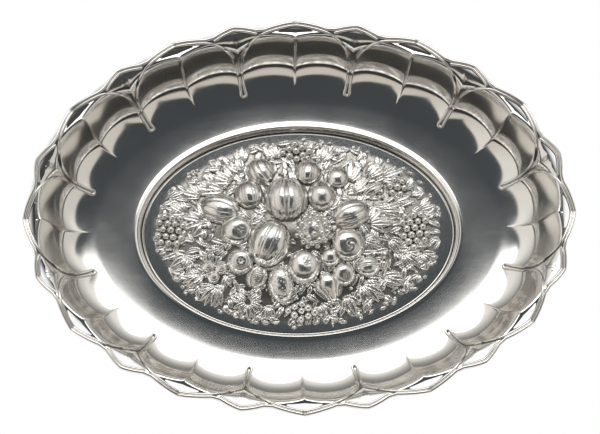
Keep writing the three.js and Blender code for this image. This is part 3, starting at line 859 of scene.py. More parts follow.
# Fruit: kind, middle, half length, half width, height over the plate, turn in degrees
Fruit = namedtuple("Fruit", "kind x y half_length half_width rise turn")
FRUIT = [Fruit(*row) for row in (
    ("beaded_melon", -8, 23, 16.6, 15.8, 11.6, 90),
    ("melon", -20.5, -9.2, 17.6, 15.6, 11.6, 65),
    ("plum", -25.2, 43.9, 10.6, 10.2, 8, 118),
    ("ribbed_plum", 7.6, 43, 9.8, 9.6, 8, 80),
    ("ribbed_plum", -34, 27, 11, 10.4, 8.5, 100),
    ("peach", -54, 17.2, 14.4, 11.4, 7.5, -18),
    ("apple", -43, 0.7, 12, 11, 8.5, 20),
    ("small_apple", -40.8, -21.5, 9.8, 9.5, 7.5, 0),
    ("walnut", -29.3, -32.6, 8.8, 7.4, 6, 62),
    ("hazelnut", -63, -24, 5.2, 5, 4.5, 0),
    ("hazelnut", -54, -25.5, 5.2, 5, 4.5, 40),
    ("hazelnut", -59.5, -31.5, 5.2, 5, 4.5, 80),
    ("strawberry", -13, -38.5, 13, 9.2, 7, 97),
    ("apple", 3, -26.7, 12.6, 11.8, 9.5, 90),
    ("raspberry", 10.2, -0.7, 12, 11.8, 10, 0),
    ("cherry", 16.7, 24.8, 11.6, 10.4, 9.5, 90),
    ("cherry", 28.3, 38.8, 8.6, 8.4, 7, 90),
    ("peach", 36.8, 11.2, 14.2, 11, 8.5, 22),
    ("quince", 34, -10.6, 12.4, 12.2, 9, 0),
    ("cherry", 21.6, -19.8, 7.2, 7, 6, 0),
    ("apple", 30.8, -31.6, 8.4, 8.2, 6, 0),
    ("pear", 20.2, -40.6, 11, 10, 7, -70),
    ("nut", 48, -26.3, 8.6, 7.6, 6, 8),
    ("bell", 59, -21.5, 7.8, 5, 4.5, 82),
    ("pod", 53, 30, 9.4, 4.6, 4.5, 32),
)]

# Bunches of grapes: middle x and y, half length, half width, turn in degrees
BUNCHES = (
    (80.7, 1.5, 15, 10.8, 96), (69.5, 31.5, 9, 7.4, 20), (-88.5, 2.4, 13, 10.4, 82),
    (-0.4, 58.4, 11.6, 7, 4), (0.6, -57.2, 12.5, 7.4, -3),
)
GRAPE_PITCH = 5.4

# Sprays of leaves: stalk x and y, direction and spread in degrees, leaflets, length, width, lift
SPRAYS = (
    (-66, 8, 165, 150, 5, 15, 6.5, 1.0), (-60, 12, 135, 60, 3, 15, 6.0, 0.8),
    (-44, 36, 150, 70, 4, 19, 6.5, 0.8), (-38, 42, 122, 60, 4, 15, 5.5, 1.2),
    (-50, 30, 172, 40, 3, 22, 7.0, 0.6), (-38, 50, 95, 80, 5, 12, 4.6, 0.8),
    (-14, 52, 110, 90, 5, 13, 5.0, 0.8), (16, 50, 62, 80, 5, 14, 5.4, 0.8),
    (36, 34, 75, 80, 6, 18, 4.6, 1.4), (38, 26, 48, 50, 4, 20, 4.8, 1.2),
    (48, 38, 42, 60, 4, 17, 6.4, 0.8), (58, 38, 14, 70, 4, 18, 6.4, 0.7),
    (48, 4, 22, 120, 5, 17, 5.6, 1.2), (56, 14, 8, 60, 4, 18, 5.2, 1.0),
    (66, 20, 40, 80, 4, 14, 5.2, 0.6), (84, 14, 20, 100, 5, 12, 4.8, 0.6),
    (72, -16, -28, 130, 6, 14, 5.4, 0.8), (84, -16, -35, 80, 4, 12, 4.6, 0.6),
    (56, -34, -10, 60, 4, 16, 6.4, 0.8), (42, -38, -38, 100, 6, 18, 6.6, 1.2),
    (32, -46, -70, 80, 5, 14, 5.6, 0.9), (-36, -50, -92, 300, 13, 11, 3.6, 1.4),
    (-22, -52, -100, 80, 5, 11, 4.4, 0.8), (-56, -38, -128, 110, 7, 16, 5.4, 1.2),
    (-66, -30, 198, 90, 5, 15, 7.0, 0.8), (-76, -16, 205, 100, 5, 13, 6.5, 0.6),
    (-78, 14, 150, 120, 5, 13, 5.4, 0.6), (-66, 26, 150, 80, 5, 15, 5.6, 0.6),
    (62, -6, -40, 80, 4, 12, 5.0, 0.9), (12, -52, -72, 90, 5, 11, 4.4, 0.7),
    (-2, 34, 92, 50, 3, 12, 5.0, 0.6), (44, -8, -8, 90, 4, 12, 4.6, 0.7),
)

# Leaves: how many fill the gaps, how near the rim they come, the painted shade on the ground under them, and
# a leaflet's form
FILLERS = 860
FILL_OUTER = 0.08
GROUND_FADE = 0.06
GROUND_SHADE = 1.1
LEAF_SEED = 11
LEAF_ROWS = 12
LEAF_COLUMNS = 6
LEAF_TOOTH = 0.16
LEAF_SWEEP = 0.06
LEAF_VEIN = 0.9
LEAF_ARCH = 0.20
LEAF_STALK = 1.5
LEAF_CURL = 1.3
MIDRIB_DEPTH = 0.16
MIDRIB_WIDTH = 0.16
LEAF_LEAST = 0.05
LEAF_ROOT = 0.3
SHORTEST_LEAF = 3

# Random ranges of a spray's leaves: their turn in degrees, and shares of their length, curl, width and droop
SPRAY_TURN = (-5, 5)
SPRAY_LENGTH = (0.88, 1.08)
SPRAY_CURL = (0.5, 1.1)
SPRAY_WIDTH = (0.85, 1.1)
SPRAY_DROOP = (0.3, 0.9)

# Random ranges of the filler leaves, with the usual swing from pointing outward in degrees
FILLER_SWING = 55
FILLER_LENGTH = (6, 13)
FILLER_WIDTH = (3.0, 5.6)
FILLER_LIFT = (0.1, 1.3)
FILLER_DROOP = (0, 0.8)


def soft_kernel(reach, spread):
    """Weights that blur a row over a reach to either side."""
    kernel = np.exp(-np.linspace(-spread, spread, 2 * reach + 1) ** 2)
    return kernel / kernel.sum()


def smoothed_profile():
    """The plate's profile with its corners rounded, as rises over an even run from rim to middle."""
    run = np.linspace(0, 1, PROFILE_POINTS)
    rise = np.interp(run, *zip(*PLATE_PROFILE))
    padded = np.concatenate((np.full(PROFILE_BLUR, rise[0]), rise, rise[::-1][1:PROFILE_BLUR + 1]))
    return run, np.convolve(padded, soft_kernel(PROFILE_BLUR, 2.5), "valid")


PLATE_RUN, PLATE_RISE = smoothed_profile()


def inward_share(x, y):
    """How far in from the plate's rim a place is, 1 in the middle."""
    return 1 - np.hypot(np.asarray(x) / PLATE_HALF_LENGTH, np.asarray(y) / PLATE_HALF_WIDTH)


def on_plate(bearing, inward):
    """x and y of a bearing and a share of the way in."""
    out = 1 - inward
    return out * PLATE_HALF_LENGTH * math.cos(bearing), out * PLATE_HALF_WIDTH * math.sin(bearing)


def plate_top(x, y):
    return PLATE_Z + SHEET + np.interp(inward_share(x, y), PLATE_RUN, PLATE_RISE)


def over_fruit(fruit, x, y, scale=1.0):
    """Where a place is along and across a fruit, in shares of its half sizes."""
    angle = math.radians(fruit.turn)
    u = ((x - fruit.x) * math.cos(angle) + (y - fruit.y) * math.sin(angle)) / (fruit.half_length * scale)
    v = ((y - fruit.y) * math.cos(angle) - (x - fruit.x) * math.sin(angle)) / (fruit.half_width * scale)
    return u, v


def under_fruit(x, y):
    """Whether a place is well inside a fruit's outline."""
    for fruit in FRUIT:
        u, v = over_fruit(fruit, x, y)
        if u ** 2 + v ** 2 < UNDER_FRUIT:
            return True
    return False


def bulges(x, y):
    """How far the sheet is pressed up behind the fruit."""
    height = np.zeros_like(x)
    for fruit in FRUIT:
        u, v = over_fruit(fruit, x, y, HOLLOW_SHARE)
        height = np.maximum(height, HOLLOW_SHARE * fruit.rise * np.maximum(0, 1 - u ** 2 - v ** 2))
    return height


class Skins:
    """Closed skins gathered into one piece: their points, faces and how dark each point is marked, from how
    deep it lies in a groove and, on the plate, from painted shade on its ground.
    """

    def __init__(self):
        self.points, self.faces, self.grooves, self.count = [], [], [], 0

    def add(self, points, faces, groove):
        for block in turned_outward(points, [block + self.count for block in faces], self.count):
            self.faces += block.tolist()
        self.points.append(points)
        self.grooves.append(groove)
        self.count += len(points)

    def piece(self, name, material):
        made = mesh_object(name, np.concatenate(self.points), self.faces, [material])
        mark_recess(made, np.concatenate(self.grooves))
        return made


def turned_outward(points, blocks, start):
    volume = 0.0
    for block in blocks:
        corners = points[block - start]
        for i in range(1, block.shape[1] - 1):
            volume += np.einsum("ij,ij->", corners[:, 0], np.cross(corners[:, i], corners[:, i + 1]))
    return blocks if volume > 0 else [block[:, ::-1] for block in blocks]


def pole_faces(rows, columns):
    """Faces of a closed skin with a point at each end: the first pole, the rows, the last pole."""
    around = np.arange(columns)
    ahead = (around + 1) % columns
    last_row, last = 1 + (rows - 1) * columns, 1 + rows * columns
    first = np.column_stack((np.zeros(columns, int), 1 + ahead, 1 + around))
    end = np.column_stack((np.full(columns, last), last_row + around, last_row + ahead))
    return [grid_faces(rows, columns) + 1, first, end]


def plate(material):
    angle = np.linspace(0, 2 * np.pi, PLATE_COLUMNS + 1)[:-1]
    out = 1 - np.linspace(0, 1, PLATE_ROWS + 1)[:-1][::-1]
    x = PLATE_HALF_LENGTH * out[:, None] * np.cos(angle)
    y = PLATE_HALF_WIDTH * out[:, None] * np.sin(angle)
    upper = np.stack((x, y, plate_top(x, y) + bulges(x, y)), axis=-1)
    lower = (upper - (0, 0, SHEET))[::-1]
    top = float(plate_top(0, 0) + bulges(np.zeros(1), np.zeros(1))[0])
    poles = np.array(((0, 0, top), (0, 0, top - SHEET)))
    points = np.concatenate((poles[:1], upper.reshape(-1, 3), lower.reshape(-1, 3), poles[1:]))
    # Painted shade: the plate's ground is marked dark inside its worked part, under the relief, fading out
    # towards its rim.
    darkened = np.clip((inward_share(points[:, 0], points[:, 1]) - FILL_OUTER) / GROUND_FADE, 0, 1)
    skins = Skins()
    skins.add(points, pole_faces(2 * PLATE_ROWS, PLATE_COLUMNS), GROUND_SHADE * darkened)
    return skins.piece("medallion_plate", material)


# Fruit: domes that are swelled and pressed in. Each kind of work gives the swelling, relative to the fruit's
# size, and how deep the groove is, for directions from the fruit's middle.

def away_from(direction, pole):
    """Angle from a pole, and the turn about it."""
    pole = np.array(pole) / np.linalg.norm(pole)
    side = np.cross(pole, (0.0, 0.0, 1.0) if abs(pole[2]) < 0.9 else (1.0, 0.0, 0.0))
    side /= np.linalg.norm(side)
    other = np.cross(pole, side)
    turn = np.arctan2(direction @ other, direction @ side)
    return np.arccos(np.clip(direction @ pole, -1, 1)), turn


def ribs(direction, count, depth):
    """Grooves from end to end of the fruit, with rounded ribs between them."""
    longitude = np.arctan2(direction[:, 2], direction[:, 1])
    wave = np.abs(np.sin(count * longitude))
    taper = np.sqrt(np.maximum(0, 1 - direction[:, 0] ** 2))
    groove = (1 - wave ** 0.55) * taper
    return -depth * groove, groove * 0.9


def double_lines(direction, count, depth):
    """Pairs of thin lines from end to end of the fruit, with smooth flesh between the pairs."""
    share = np.arctan2(direction[:, 2], direction[:, 1]) / math.pi * count
    from_line = np.abs(share - np.floor(share) - 0.5)
    taper = np.sqrt(np.maximum(0, 1 - direction[:, 0] ** 2))
    groove = np.exp(-((from_line - 0.12) / 0.05) ** 2) * taper
    return -depth * groove, groove * 0.9


def dimple(direction, pole, width, depth, points=5):
    """A hollow with a small star of sepals in it."""
    angle, turn = away_from(direction, pole)
    hollow = np.exp(-(angle / width) ** 2)
    star = np.exp(-((angle - 0.12) / 0.09) ** 2) * (0.5 + 0.5 * np.cos(points * turn))
    return -depth * hollow + 0.45 * depth * star, np.clip(hollow * 1.1 - star, 0, 1)


def suture(direction, across, bend, width, depth):
    """One line from end to end, bent to the side."""
    line = across + bend * (1 - direction[:, 0] ** 2)
    groove = np.exp(-((direction[:, 1] - line) / width) ** 2)
    return -depth * groove, groove * 0.8


def ring(direction, pole, place, width, depth):
    """A shallow ring round a dimple."""
    angle, _ = away_from(direction, pole)
    line = np.exp(-((angle - place) / width) ** 2)
    return -depth * line, line * 0.6


def curled_eye(direction, pole, width):
    """A hollow with two curled sepals."""
    angle, turn = away_from(direction, pole)
    curl = 0.5 + 0.5 * np.cos(2 * turn + 14 * angle)
    near = np.exp(-(angle / width) ** 2)
    return -0.2 * near + 0.08 * near * curl, near * (1 - 0.6 * curl)


def shell_seams(direction):
    """A walnut's lens, with an edge all round and a wrinkled inside."""
    lens = 0.5 * (1 - direction[:, 0] ** 2)
    aside = np.abs(direction[:, 1])
    edge = np.exp(-((aside - lens) / 0.07) ** 2)
    inside = (aside < lens) * (0.5 + 0.5 * np.sin(30 * direction[:, 0] + 22 * direction[:, 1]))
    return -0.07 * edge - 0.05 * inside, np.maximum(edge * 0.8, inside * 0.7)


def pointed_end(direction, pole, width, height):
    angle, _ = away_from(direction, pole)
    return height * np.exp(-(angle / width) ** 2), np.zeros(len(direction))


# What is worked into each kind of fruit, with its sizes
MARKS = {
    "beaded_melon": (
        (suture, -0.1, 0.16, 0.05, 0.05), (suture, 0.1, -0.16, 0.05, 0.05),
        (suture, -0.55, -0.25, 0.05, 0.05), (suture, 0.55, 0.25, 0.05, 0.05),
        (dimple, (1, 0, 0.25), 0.2, 0.12),
    ),
    "melon": ((double_lines, 6, 0.05), (dimple, (1, 0, 0.25), 0.2, 0.12)),
    "ribbed_plum": ((double_lines, 4, 0.05),),
    "plum": (
        (suture, -0.25, 0.35, 0.06, 0.10), (suture, 0.25, 0.25, 0.05, 0.07), (suture, -0.7, 0.2, 0.05, 0.05),
    ),
    "peach": (
        (suture, -0.05, 0.42, 0.05, 0.07), (suture, 0.05, -0.32, 0.05, 0.07),
        (suture, -0.4, -0.3, 0.05, 0.07), (suture, 0.5, 0.25, 0.05, 0.07),
    ),
    "apple": ((dimple, (0.25, -0.25, 1), 0.34, 0.16),),
    "small_apple": ((dimple, (0.05, -0.1, 1), 0.2, 0.2, 6), (ring, (0.05, -0.1, 1), 0.5, 0.06, 0.04)),
    "quince": ((curled_eye, (0.1, -0.2, 1), 0.42),),
    "walnut": ((shell_seams,),),
    "hazelnut": ((pointed_end, (0.1, 0.1, 1), 0.22, 0.16),),
    "nut": ((suture, 0.35, -0.15, 0.05, 0.08), (suture, -0.05, 0.1, 0.05, 0.05)),
    "bell": ((ribs, 5, 0.12),),
    "pod": ((suture, 0.1, 0.15, 0.12, 0.16),),
    "cherry": ((dimple, (0.7, 0.1, 0.7), 0.22, 0.14),),
    "pear": ((suture, -0.4, -0.2, 0.08, 0.10), (suture, 0.4, 0.2, 0.08, 0.10)),
}

# Kinds with fine work, and the rows and columns of their domes and of the others
DETAILED = ("beaded_melon", "melon", "strawberry", "quince", "walnut")
FINE_DOME = (30, 96)
PLAIN_DOME = (20, 56)
INNER_SCALE = 0.9


def fruit_shape(kind, direction):
    swell, groove = np.zeros(len(direction)), np.zeros(len(direction))
    for work, *sizes in MARKS.get(kind, ()):
        change, depth = work(direction, *sizes)
        swell = swell + change
        groove = np.maximum(groove, depth)
    return swell, groove


def narrowing(kind, along):
    """Width of a fruit along its length: a pear has a neck and a bell a flared mouth."""
    if kind == "pear":
        return 1 - 0.42 / (1 + np.exp(-7 * (along - 0.15)))
    if kind == "bell":
        return 0.8 + 0.35 * np.cos(2.4 * (along + 0.9))
    if kind == "pod":
        return np.sqrt(np.maximum(0.03, 1 - along ** 2)) ** 0.6
    return np.ones_like(along)


def fruit_points(fruit, direction, scale=1.0):
    swell, groove = fruit_shape(fruit.kind, direction)
    reach = (1 + swell) * scale
    narrow = narrowing(fruit.kind, direction[:, 0])
    u = direction[:, 0] * reach * fruit.half_length
    v = direction[:, 1] * reach * fruit.half_width * narrow
    x, y = step_from(fruit.x, fruit.y, math.radians(fruit.turn), u, v)
    z = plate_top(x, y) + direction[:, 2] * reach * fruit.rise * narrow ** 0.5 - RELIEF_SINK
    return np.column_stack((x, y, z)), groove


def dome_directions(rows, columns):
    down = np.linspace(0, np.pi / 2, rows + 1)[1:]
    around = np.linspace(0, 2 * np.pi, columns + 1)[:-1]
    flat = np.sin(down)[:, None]
    high = np.repeat(np.cos(down)[:, None], columns, axis=1)
    return np.stack((flat * np.cos(around), flat * np.sin(around), high), axis=-1)


def fruit_pile(material):
    """Every fruit is a closed skin: a dome, and a smaller one inside it."""
    skins = Skins()
    top = np.array([[0.0, 0.0, 1.0]])
    for fruit in FRUIT:
        rows, columns = FINE_DOME if fruit.kind in DETAILED else PLAIN_DOME
        dome = dome_directions(rows, columns)
        outside, groove = fruit_points(fruit, np.concatenate((top, dome.reshape(-1, 3))))
        inside, _ = fruit_points(fruit, np.concatenate((dome[::-1].reshape(-1, 3), top)), INNER_SCALE)
        points = np.concatenate((outside, inside))
        skins.add(points, pole_faces(2 * rows, columns), np.concatenate((groove, np.ones(len(inside)))))
    return skins.piece("medallion_fruit", material)


# Leaves: a leaflet is a toothed lens with a midrib and side veins, closed underneath

LEAF_ALONG = np.linspace(0, 1, LEAF_ROWS + 1)[1:-1, None]
LEAF_ACROSS = np.linspace(-1, 1, LEAF_COLUMNS + 1)
LEAF_SIDES = np.where(np.arange(LEAF_ROWS - 1) % 2 == 0, 1, -1)[:, None]
MIDRIB = np.exp(-(LEAF_ACROSS / MIDRIB_WIDTH) ** 2)


def leaf_front(length, width, lift, droop):
    """Points of a leaflet's front, from stalk to tip: along it, across it, and over the plate."""
    t, u = LEAF_ALONG, LEAF_ACROSS
    half = width / 2 * np.sin(np.pi * t ** 0.75) ** 0.8 * (1 + LEAF_TOOTH * LEAF_SIDES)
    along = (t + LEAF_SWEEP * np.abs(u) * (1 - t)) * length
    vein = LEAF_SIDES * np.abs(u) * (1 - np.abs(u)) * LEAF_VEIN
    arch = (1 - u ** 2) * width * LEAF_ARCH * np.sin(np.pi * t) ** 0.6
    rise = lift + arch + -MIDRIB_DEPTH * width * MIDRIB + vein - droop * t ** 2
    stalk = (0.0, 0.0, lift * 0.6)
    tip = (length, 0.0, max(0.1, lift - droop))
    return np.concatenate(([stalk], np.stack((along, half * u, rise), axis=-1).reshape(-1, 3), [tip]))


def leaf_faces():
    """A leaflet's front, and a back that is let into the plate and joined to the front along both edges."""
    rows, columns = LEAF_ROWS - 1, LEAF_COLUMNS + 1
    ids = 1 + np.arange(rows * columns).reshape(rows, columns)
    last = rows * columns + 1
    back = last + 1 + np.arange(rows)
    left, right = ids[:, 0], ids[:, -1]
    front = np.stack((ids[:-1, :-1], ids[1:, :-1], ids[1:, 1:], ids[:-1, 1:]), axis=-1).reshape(-1, 4)
    root = np.array([(0, ids[0, j], ids[0, j + 1]) for j in range(columns - 1)])
    tip = np.array([(last, ids[-1, j + 1], ids[-1, j]) for j in range(columns - 1)])
    left_back = np.column_stack((left[:-1], back[:-1], back[1:], left[1:]))
    right_back = np.column_stack((right[:-1], right[1:], back[1:], back[:-1]))
    ends = np.array([
        (0, back[0], left[0]), (0, right[0], back[0]),
        (last, left[-1], back[-1]), (last, back[-1], right[-1]),
    ])
    return [front, root, tip, left_back, right_back, ends]


LEAF_FACES = leaf_faces()


def leaflet(skins, x, y, heading, length, width, lift, droop):
    angle = math.radians(heading)
    local = leaf_front(length, width, lift, droop)
    front_x, front_y = step_from(x, y, angle, local[:, 0], local[:, 1])
    front_z = plate_top(front_x, front_y) + np.maximum(local[:, 2], LEAF_LEAST)
    back_x, back_y = step_from(x, y, angle, LEAF_ALONG[:, 0] * length)
    back_z = plate_top(back_x, back_y) - LEAF_ROOT
    front = np.column_stack((front_x, front_y, front_z))
    back = np.column_stack((back_x, back_y, back_z))
    groove = np.concatenate(([0.5], np.tile(MIDRIB * 0.7, len(back)), [0.0], np.ones(len(back))))
    skins.add(np.concatenate((front, back)), LEAF_FACES, groove)


def fitted(x, y, heading, length):
    """A leaf's length, cut back so that its tip stays on the worked part of the plate."""
    angle = math.radians(heading)
    while length > SHORTEST_LEAF and inward_share(*step_from(x, y, angle, length)) <= FILL_OUTER:
        length -= 1
    return length


def spray_leaves(skins, rng):
    for x, y, turn, spread, count, length, width, lift in SPRAYS:
        for i in range(count):
            share = (i + 0.5) / count - 0.5
            heading = turn + spread * share + rng.uniform(*SPRAY_TURN)
            reach = length * (1 - 0.5 * abs(share)) * rng.uniform(*SPRAY_LENGTH)
            height = lift + LEAF_CURL * (1 - abs(share)) * rng.uniform(*SPRAY_CURL)
            breadth = width * rng.uniform(*SPRAY_WIDTH)
            droop = height * rng.uniform(*SPRAY_DROOP)
            root_x, root_y = step_from(x, y, math.radians(heading), LEAF_STALK)
            leaflet(skins, root_x, root_y, heading, fitted(x, y, heading, reach), breadth, height, droop)


def filler_leaves(skins, rng):
    """Small leaves all over the worked part of the plate, turned outward more or less."""
    made = 0
    while made < FILLERS:
        bearing = rng.uniform(0, 2 * np.pi)
        x, y = on_plate(bearing, 1 - (1 - FILL_OUTER) * math.sqrt(rng.uniform(0.02, 1)))
        heading = math.degrees(math.atan2(y, x)) + rng.normal(0, FILLER_SWING)
        length, width = rng.uniform(*FILLER_LENGTH), rng.uniform(*FILLER_WIDTH)
        if under_fruit(x, y):
            continue
        made += 1
        lift, droop = rng.uniform(*FILLER_LIFT), rng.uniform(*FILLER_DROOP)
        leaflet(skins, x, y, heading, fitted(x, y, heading, length), width, lift, droop)


def foliage(material):
    rng = np.random.default_rng(LEAF_SEED)
    skins = Skins()
    spray_leaves(skins, rng)
    filler_leaves(skins, rng)
    return skins.piece("medallion_leaves", material)


# Berries and beads: a small ball on every point

GRAPE_SEED = 5
GRAPE_RADIUS = (2.5, 2.9)
GRAPE_ROW_SHARE = 0.85
GRAPE_JITTER = 0.3
GRAPE_LIFT = 0.2
GRAPE_HEAP = 2.2
BUNCH_EDGE = 0.9
BEADS = 130
BEAD_SEED = 23
BEAD_RADIUS = (0.7, 1.5)
BEAD_LIFT = (0.8, 2.2)
BEAD_PLACES = (FILL_OUTER + 0.02, 0.55)


def ball_tree(material):
    maker, given = geometry_tree("set_balls", (
        ("Segments", "NodeSocketInt", 16),
        ("Rings", "NodeSocketInt", 8),
    ))
    ball = maker.add("GeometryNodeMeshUVSphere", {}, given["Segments"], given["Rings"], Radius=1.0)
    size = maker.add("GeometryNodeInputNamedAttribute", {"data_type": "FLOAT_VECTOR"}, "size")
    placed = maker.add("GeometryNodeInstanceOnPoints", {}, given["Geometry"], Instance=ball, Scale=size)
    return finish_tree(maker, placed, material)


def balls(name, tree, places, segments, rings):
    centres, sizes = places
    made = guide(name, centres, [], "size", np.asarray(sizes, np.float32) * MM)
    return worked(made, tree, Segments=segments, Rings=rings)


def grape_places():
    """Berries in offset rows inside each bunch's oval, higher in the middle."""
    rng = np.random.default_rng(GRAPE_SEED)
    centres, sizes = [], []
    for middle_x, middle_y, half_length, half_width, turn in BUNCHES:
        rows = int(half_length / (GRAPE_PITCH * GRAPE_ROW_SHARE)) + 1
        columns = int(half_width / GRAPE_PITCH) + 1
        for row in range(-rows, rows + 1):
            for column in range(-columns, columns + 1):
                u = row * GRAPE_PITCH * GRAPE_ROW_SHARE + rng.uniform(-GRAPE_JITTER, GRAPE_JITTER)
                v = (column + 0.5 * (row % 2)) * GRAPE_PITCH + rng.uniform(-GRAPE_JITTER, GRAPE_JITTER)
                share = (u / half_length) ** 2 + (v / half_width) ** 2
                if share > BUNCH_EDGE:
                    continue
                x, y = step_from(middle_x, middle_y, math.radians(turn), u, v)
                radius = rng.uniform(*GRAPE_RADIUS)
                z = plate_top(x, y) + GRAPE_LIFT + GRAPE_HEAP * (1 - share)
                centres.append((x, y, max(z, radius + PLATE_Z)))
                sizes.append((radius, radius, radius * 1.05))
    return centres, sizes


def fibonacci_cap(count, lowest):
    """Even directions over a dome, from its top down to a lowest height."""
    height = 1 - (np.arange(count) + 0.5) / count * (1 - lowest)
    turn = np.pi * (3 - math.sqrt(5)) * np.arange(count)
    flat = np.sqrt(1 - height ** 2)
    return np.column_stack((flat * np.cos(turn), flat * np.sin(turn), height))


def melon_rows():
    """Double rows of beads along the middle ribs of the melon."""
    rows = []
    latitude = np.linspace(-1.05, 1.05, 34)
    for groove in (2, 3, 4, 5):
        for aside in (-0.10, 0.10):
            longitude = groove * np.pi / 7 + aside
            across, up = np.cos(latitude) * math.cos(longitude), np.cos(latitude) * math.sin(longitude)
            rows.append(np.column_stack((np.sin(latitude), across, up)))
    return np.concatenate(rows)


# Drupelets, seeds and rows of beads: their directions from the fruit's middle, and their radius
DOTS = {
    "raspberry": (fibonacci_cap(30, 0.05), 2.3),
    "strawberry": (fibonacci_cap(95, 0.1), 0.62),
    "beaded_melon": (melon_rows(), 0.42),
}


def dotted_places():
    centres, sizes = [], []
    for fruit in FRUIT:
        if fruit.kind in DOTS:
            directions, radius = DOTS[fruit.kind]
            places, _ = fruit_points(fruit, directions)
            centres += places.tolist()
            sizes += [(radius, radius, radius)] * len(places)
    return centres, sizes


def bead_places():
    """Small berries strewn among the leaves."""
    rng = np.random.default_rng(BEAD_SEED)
    centres, sizes = [], []
    while len(centres) < BEADS:
        x, y = on_plate(rng.uniform(0, 2 * np.pi), rng.uniform(*BEAD_PLACES))
        if under_fruit(x, y):
            continue
        radius = rng.uniform(*BEAD_RADIUS)
        centres.append((x, y, plate_top(x, y) + rng.uniform(*BEAD_LIFT)))
        sizes.append((radius, radius, radius))
    return centres, sizes


# Recesses: how far every point lies below the relief round it, which is painted there as shade

RECESS_CELL = 0.8
RECESS_REACH = 5
RECESS_START = 0.2
RECESS_DEPTH = 2.2
RECESS_MARGIN = 4


def write_recesses(pieces):
    clouds = [mesh_points(made) / MM for made in pieces]
    wide = int(2 * (PLATE_HALF_LENGTH + RECESS_MARGIN) / RECESS_CELL)
    deep = int(2 * (PLATE_HALF_WIDTH + RECESS_MARGIN) / RECESS_CELL)

    def cells(points):
        i = np.clip((points[:, 0] / RECESS_CELL + wide / 2).astype(int), 0, wide - 1)
        j = np.clip((points[:, 1] / RECESS_CELL + deep / 2).astype(int), 0, deep - 1)
        return i, j

    grid_x = (np.arange(wide) - wide / 2 + 0.5) * RECESS_CELL
    grid_y = (np.arange(deep) - deep / 2 + 0.5) * RECESS_CELL
    height = plate_top(*np.meshgrid(grid_x, grid_y, indexing="ij"))
    for points in clouds:
        np.maximum.at(height, cells(points), points[:, 2])
    kernel = soft_kernel(RECESS_REACH, 2)
    for axis in (0, 1):
        height = np.apply_along_axis(lambda row: np.convolve(row, kernel, "same"), axis, height)
    for made, points in zip(pieces, clouds):
        # Painted shade: points below the smoothed relief around them are marked dark, on top of their
        # grooves.
        depth = np.clip((height[cells(points)] - points[:, 2] - RECESS_START) / RECESS_DEPTH, 0, 1)
        groove = np.zeros(len(points), np.float32)
        recess_of(made).data.foreach_get("value", groove)
        mark_recess(made, np.maximum(groove, depth))


def lift_off_back(made):
    """Lifts what would show through the plate's back into the thickness of its sheet."""
    points = mesh_points(made)
    x, y = points[:, 0] / MM, points[:, 1] / MM
    lowest = plate_top(x, y) + bulges(x, y) - RELIEF_SINK
    points[:, 2] = np.maximum(points[:, 2], lowest * MM)
    made.data.vertices.foreach_set("co", points.ravel())
    made.data.update()


def make_medallion(material, smooth_material):
    tree = ball_tree(material)
    pieces = [
        plate(smooth_material),
        fruit_pile(material),
        foliage(material),
        balls("medallion_grapes", tree, grape_places(), 18, 9),
        balls("medallion_drupelets", tree, dotted_places(), 10, 6),
        balls("medallion_beads", tree, bead_places(), 8, 6),
    ]
    for made in pieces[1:]:
        lift_off_back(made)
    write_recesses(pieces)
    for made in pieces:
        keep(made, ["medallion"])


# Camera, at the photograph's viewing angle

IMAGE_WIDTH = 600
IMAGE_HEIGHT = 434
CAMERA_DISTANCE = 2501
CAMERA_FOCAL = 3616
CAMERA_TILT = math.radians(16.6)
CAMERA_YAW = math.radians(-2.0)
CAMERA_ROLL = math.radians(1.4)
WELL_MIDDLE_PIXEL = (298.5, 230.7)
SENSOR = 36.0


def make_camera():
    roll = Matrix.Rotation(CAMERA_ROLL, 3, "Z")
    tilt = Matrix.Rotation(-CAMERA_TILT, 3, "X")
    yaw = Matrix.Rotation(-CAMERA_YAW, 3, "Y")
    turn = roll @ tilt @ yaw
    camera = bpy.data.cameras.new("camera")
    camera.sensor_width = SENSOR
    camera.lens = CAMERA_FOCAL / IMAGE_WIDTH * SENSOR
    camera.shift_x = (IMAGE_WIDTH / 2 - WELL_MIDDLE_PIXEL[0]) / IMAGE_WIDTH
    camera.shift_y = (WELL_MIDDLE_PIXEL[1] - IMAGE_HEIGHT / 2) / IMAGE_WIDTH
    camera.clip_start = 0.05
    camera.clip_end = 50
    made = link("camera", camera)
    place = Vector((0, 0, FLOOR_Z * MM)) + turn.row[2] * CAMERA_DISTANCE * MM
    made.matrix_world = Matrix.Translation(place) @ turn.transposed().to_4x4()
    bpy.context.scene.camera = made


# Floor, room and lamp

FLOOR_HALF = 3000.0
PAPER = (0.9, 0.9, 0.9, 1)
# A painted shadow: the paper's dark colour inside an oval under the bowl, set towards the back
DEEP_SHADE = (0.1, 0.1, 0.1, 1)
GLOW = (1, 1, 1, 1)
SHADE_MIDDLE = (0, 17 * MM, 0)
SHADE_REACH = (186 * MM, 135.5 * MM, 1)
SHADE_EDGE = (0.985, 1.01)


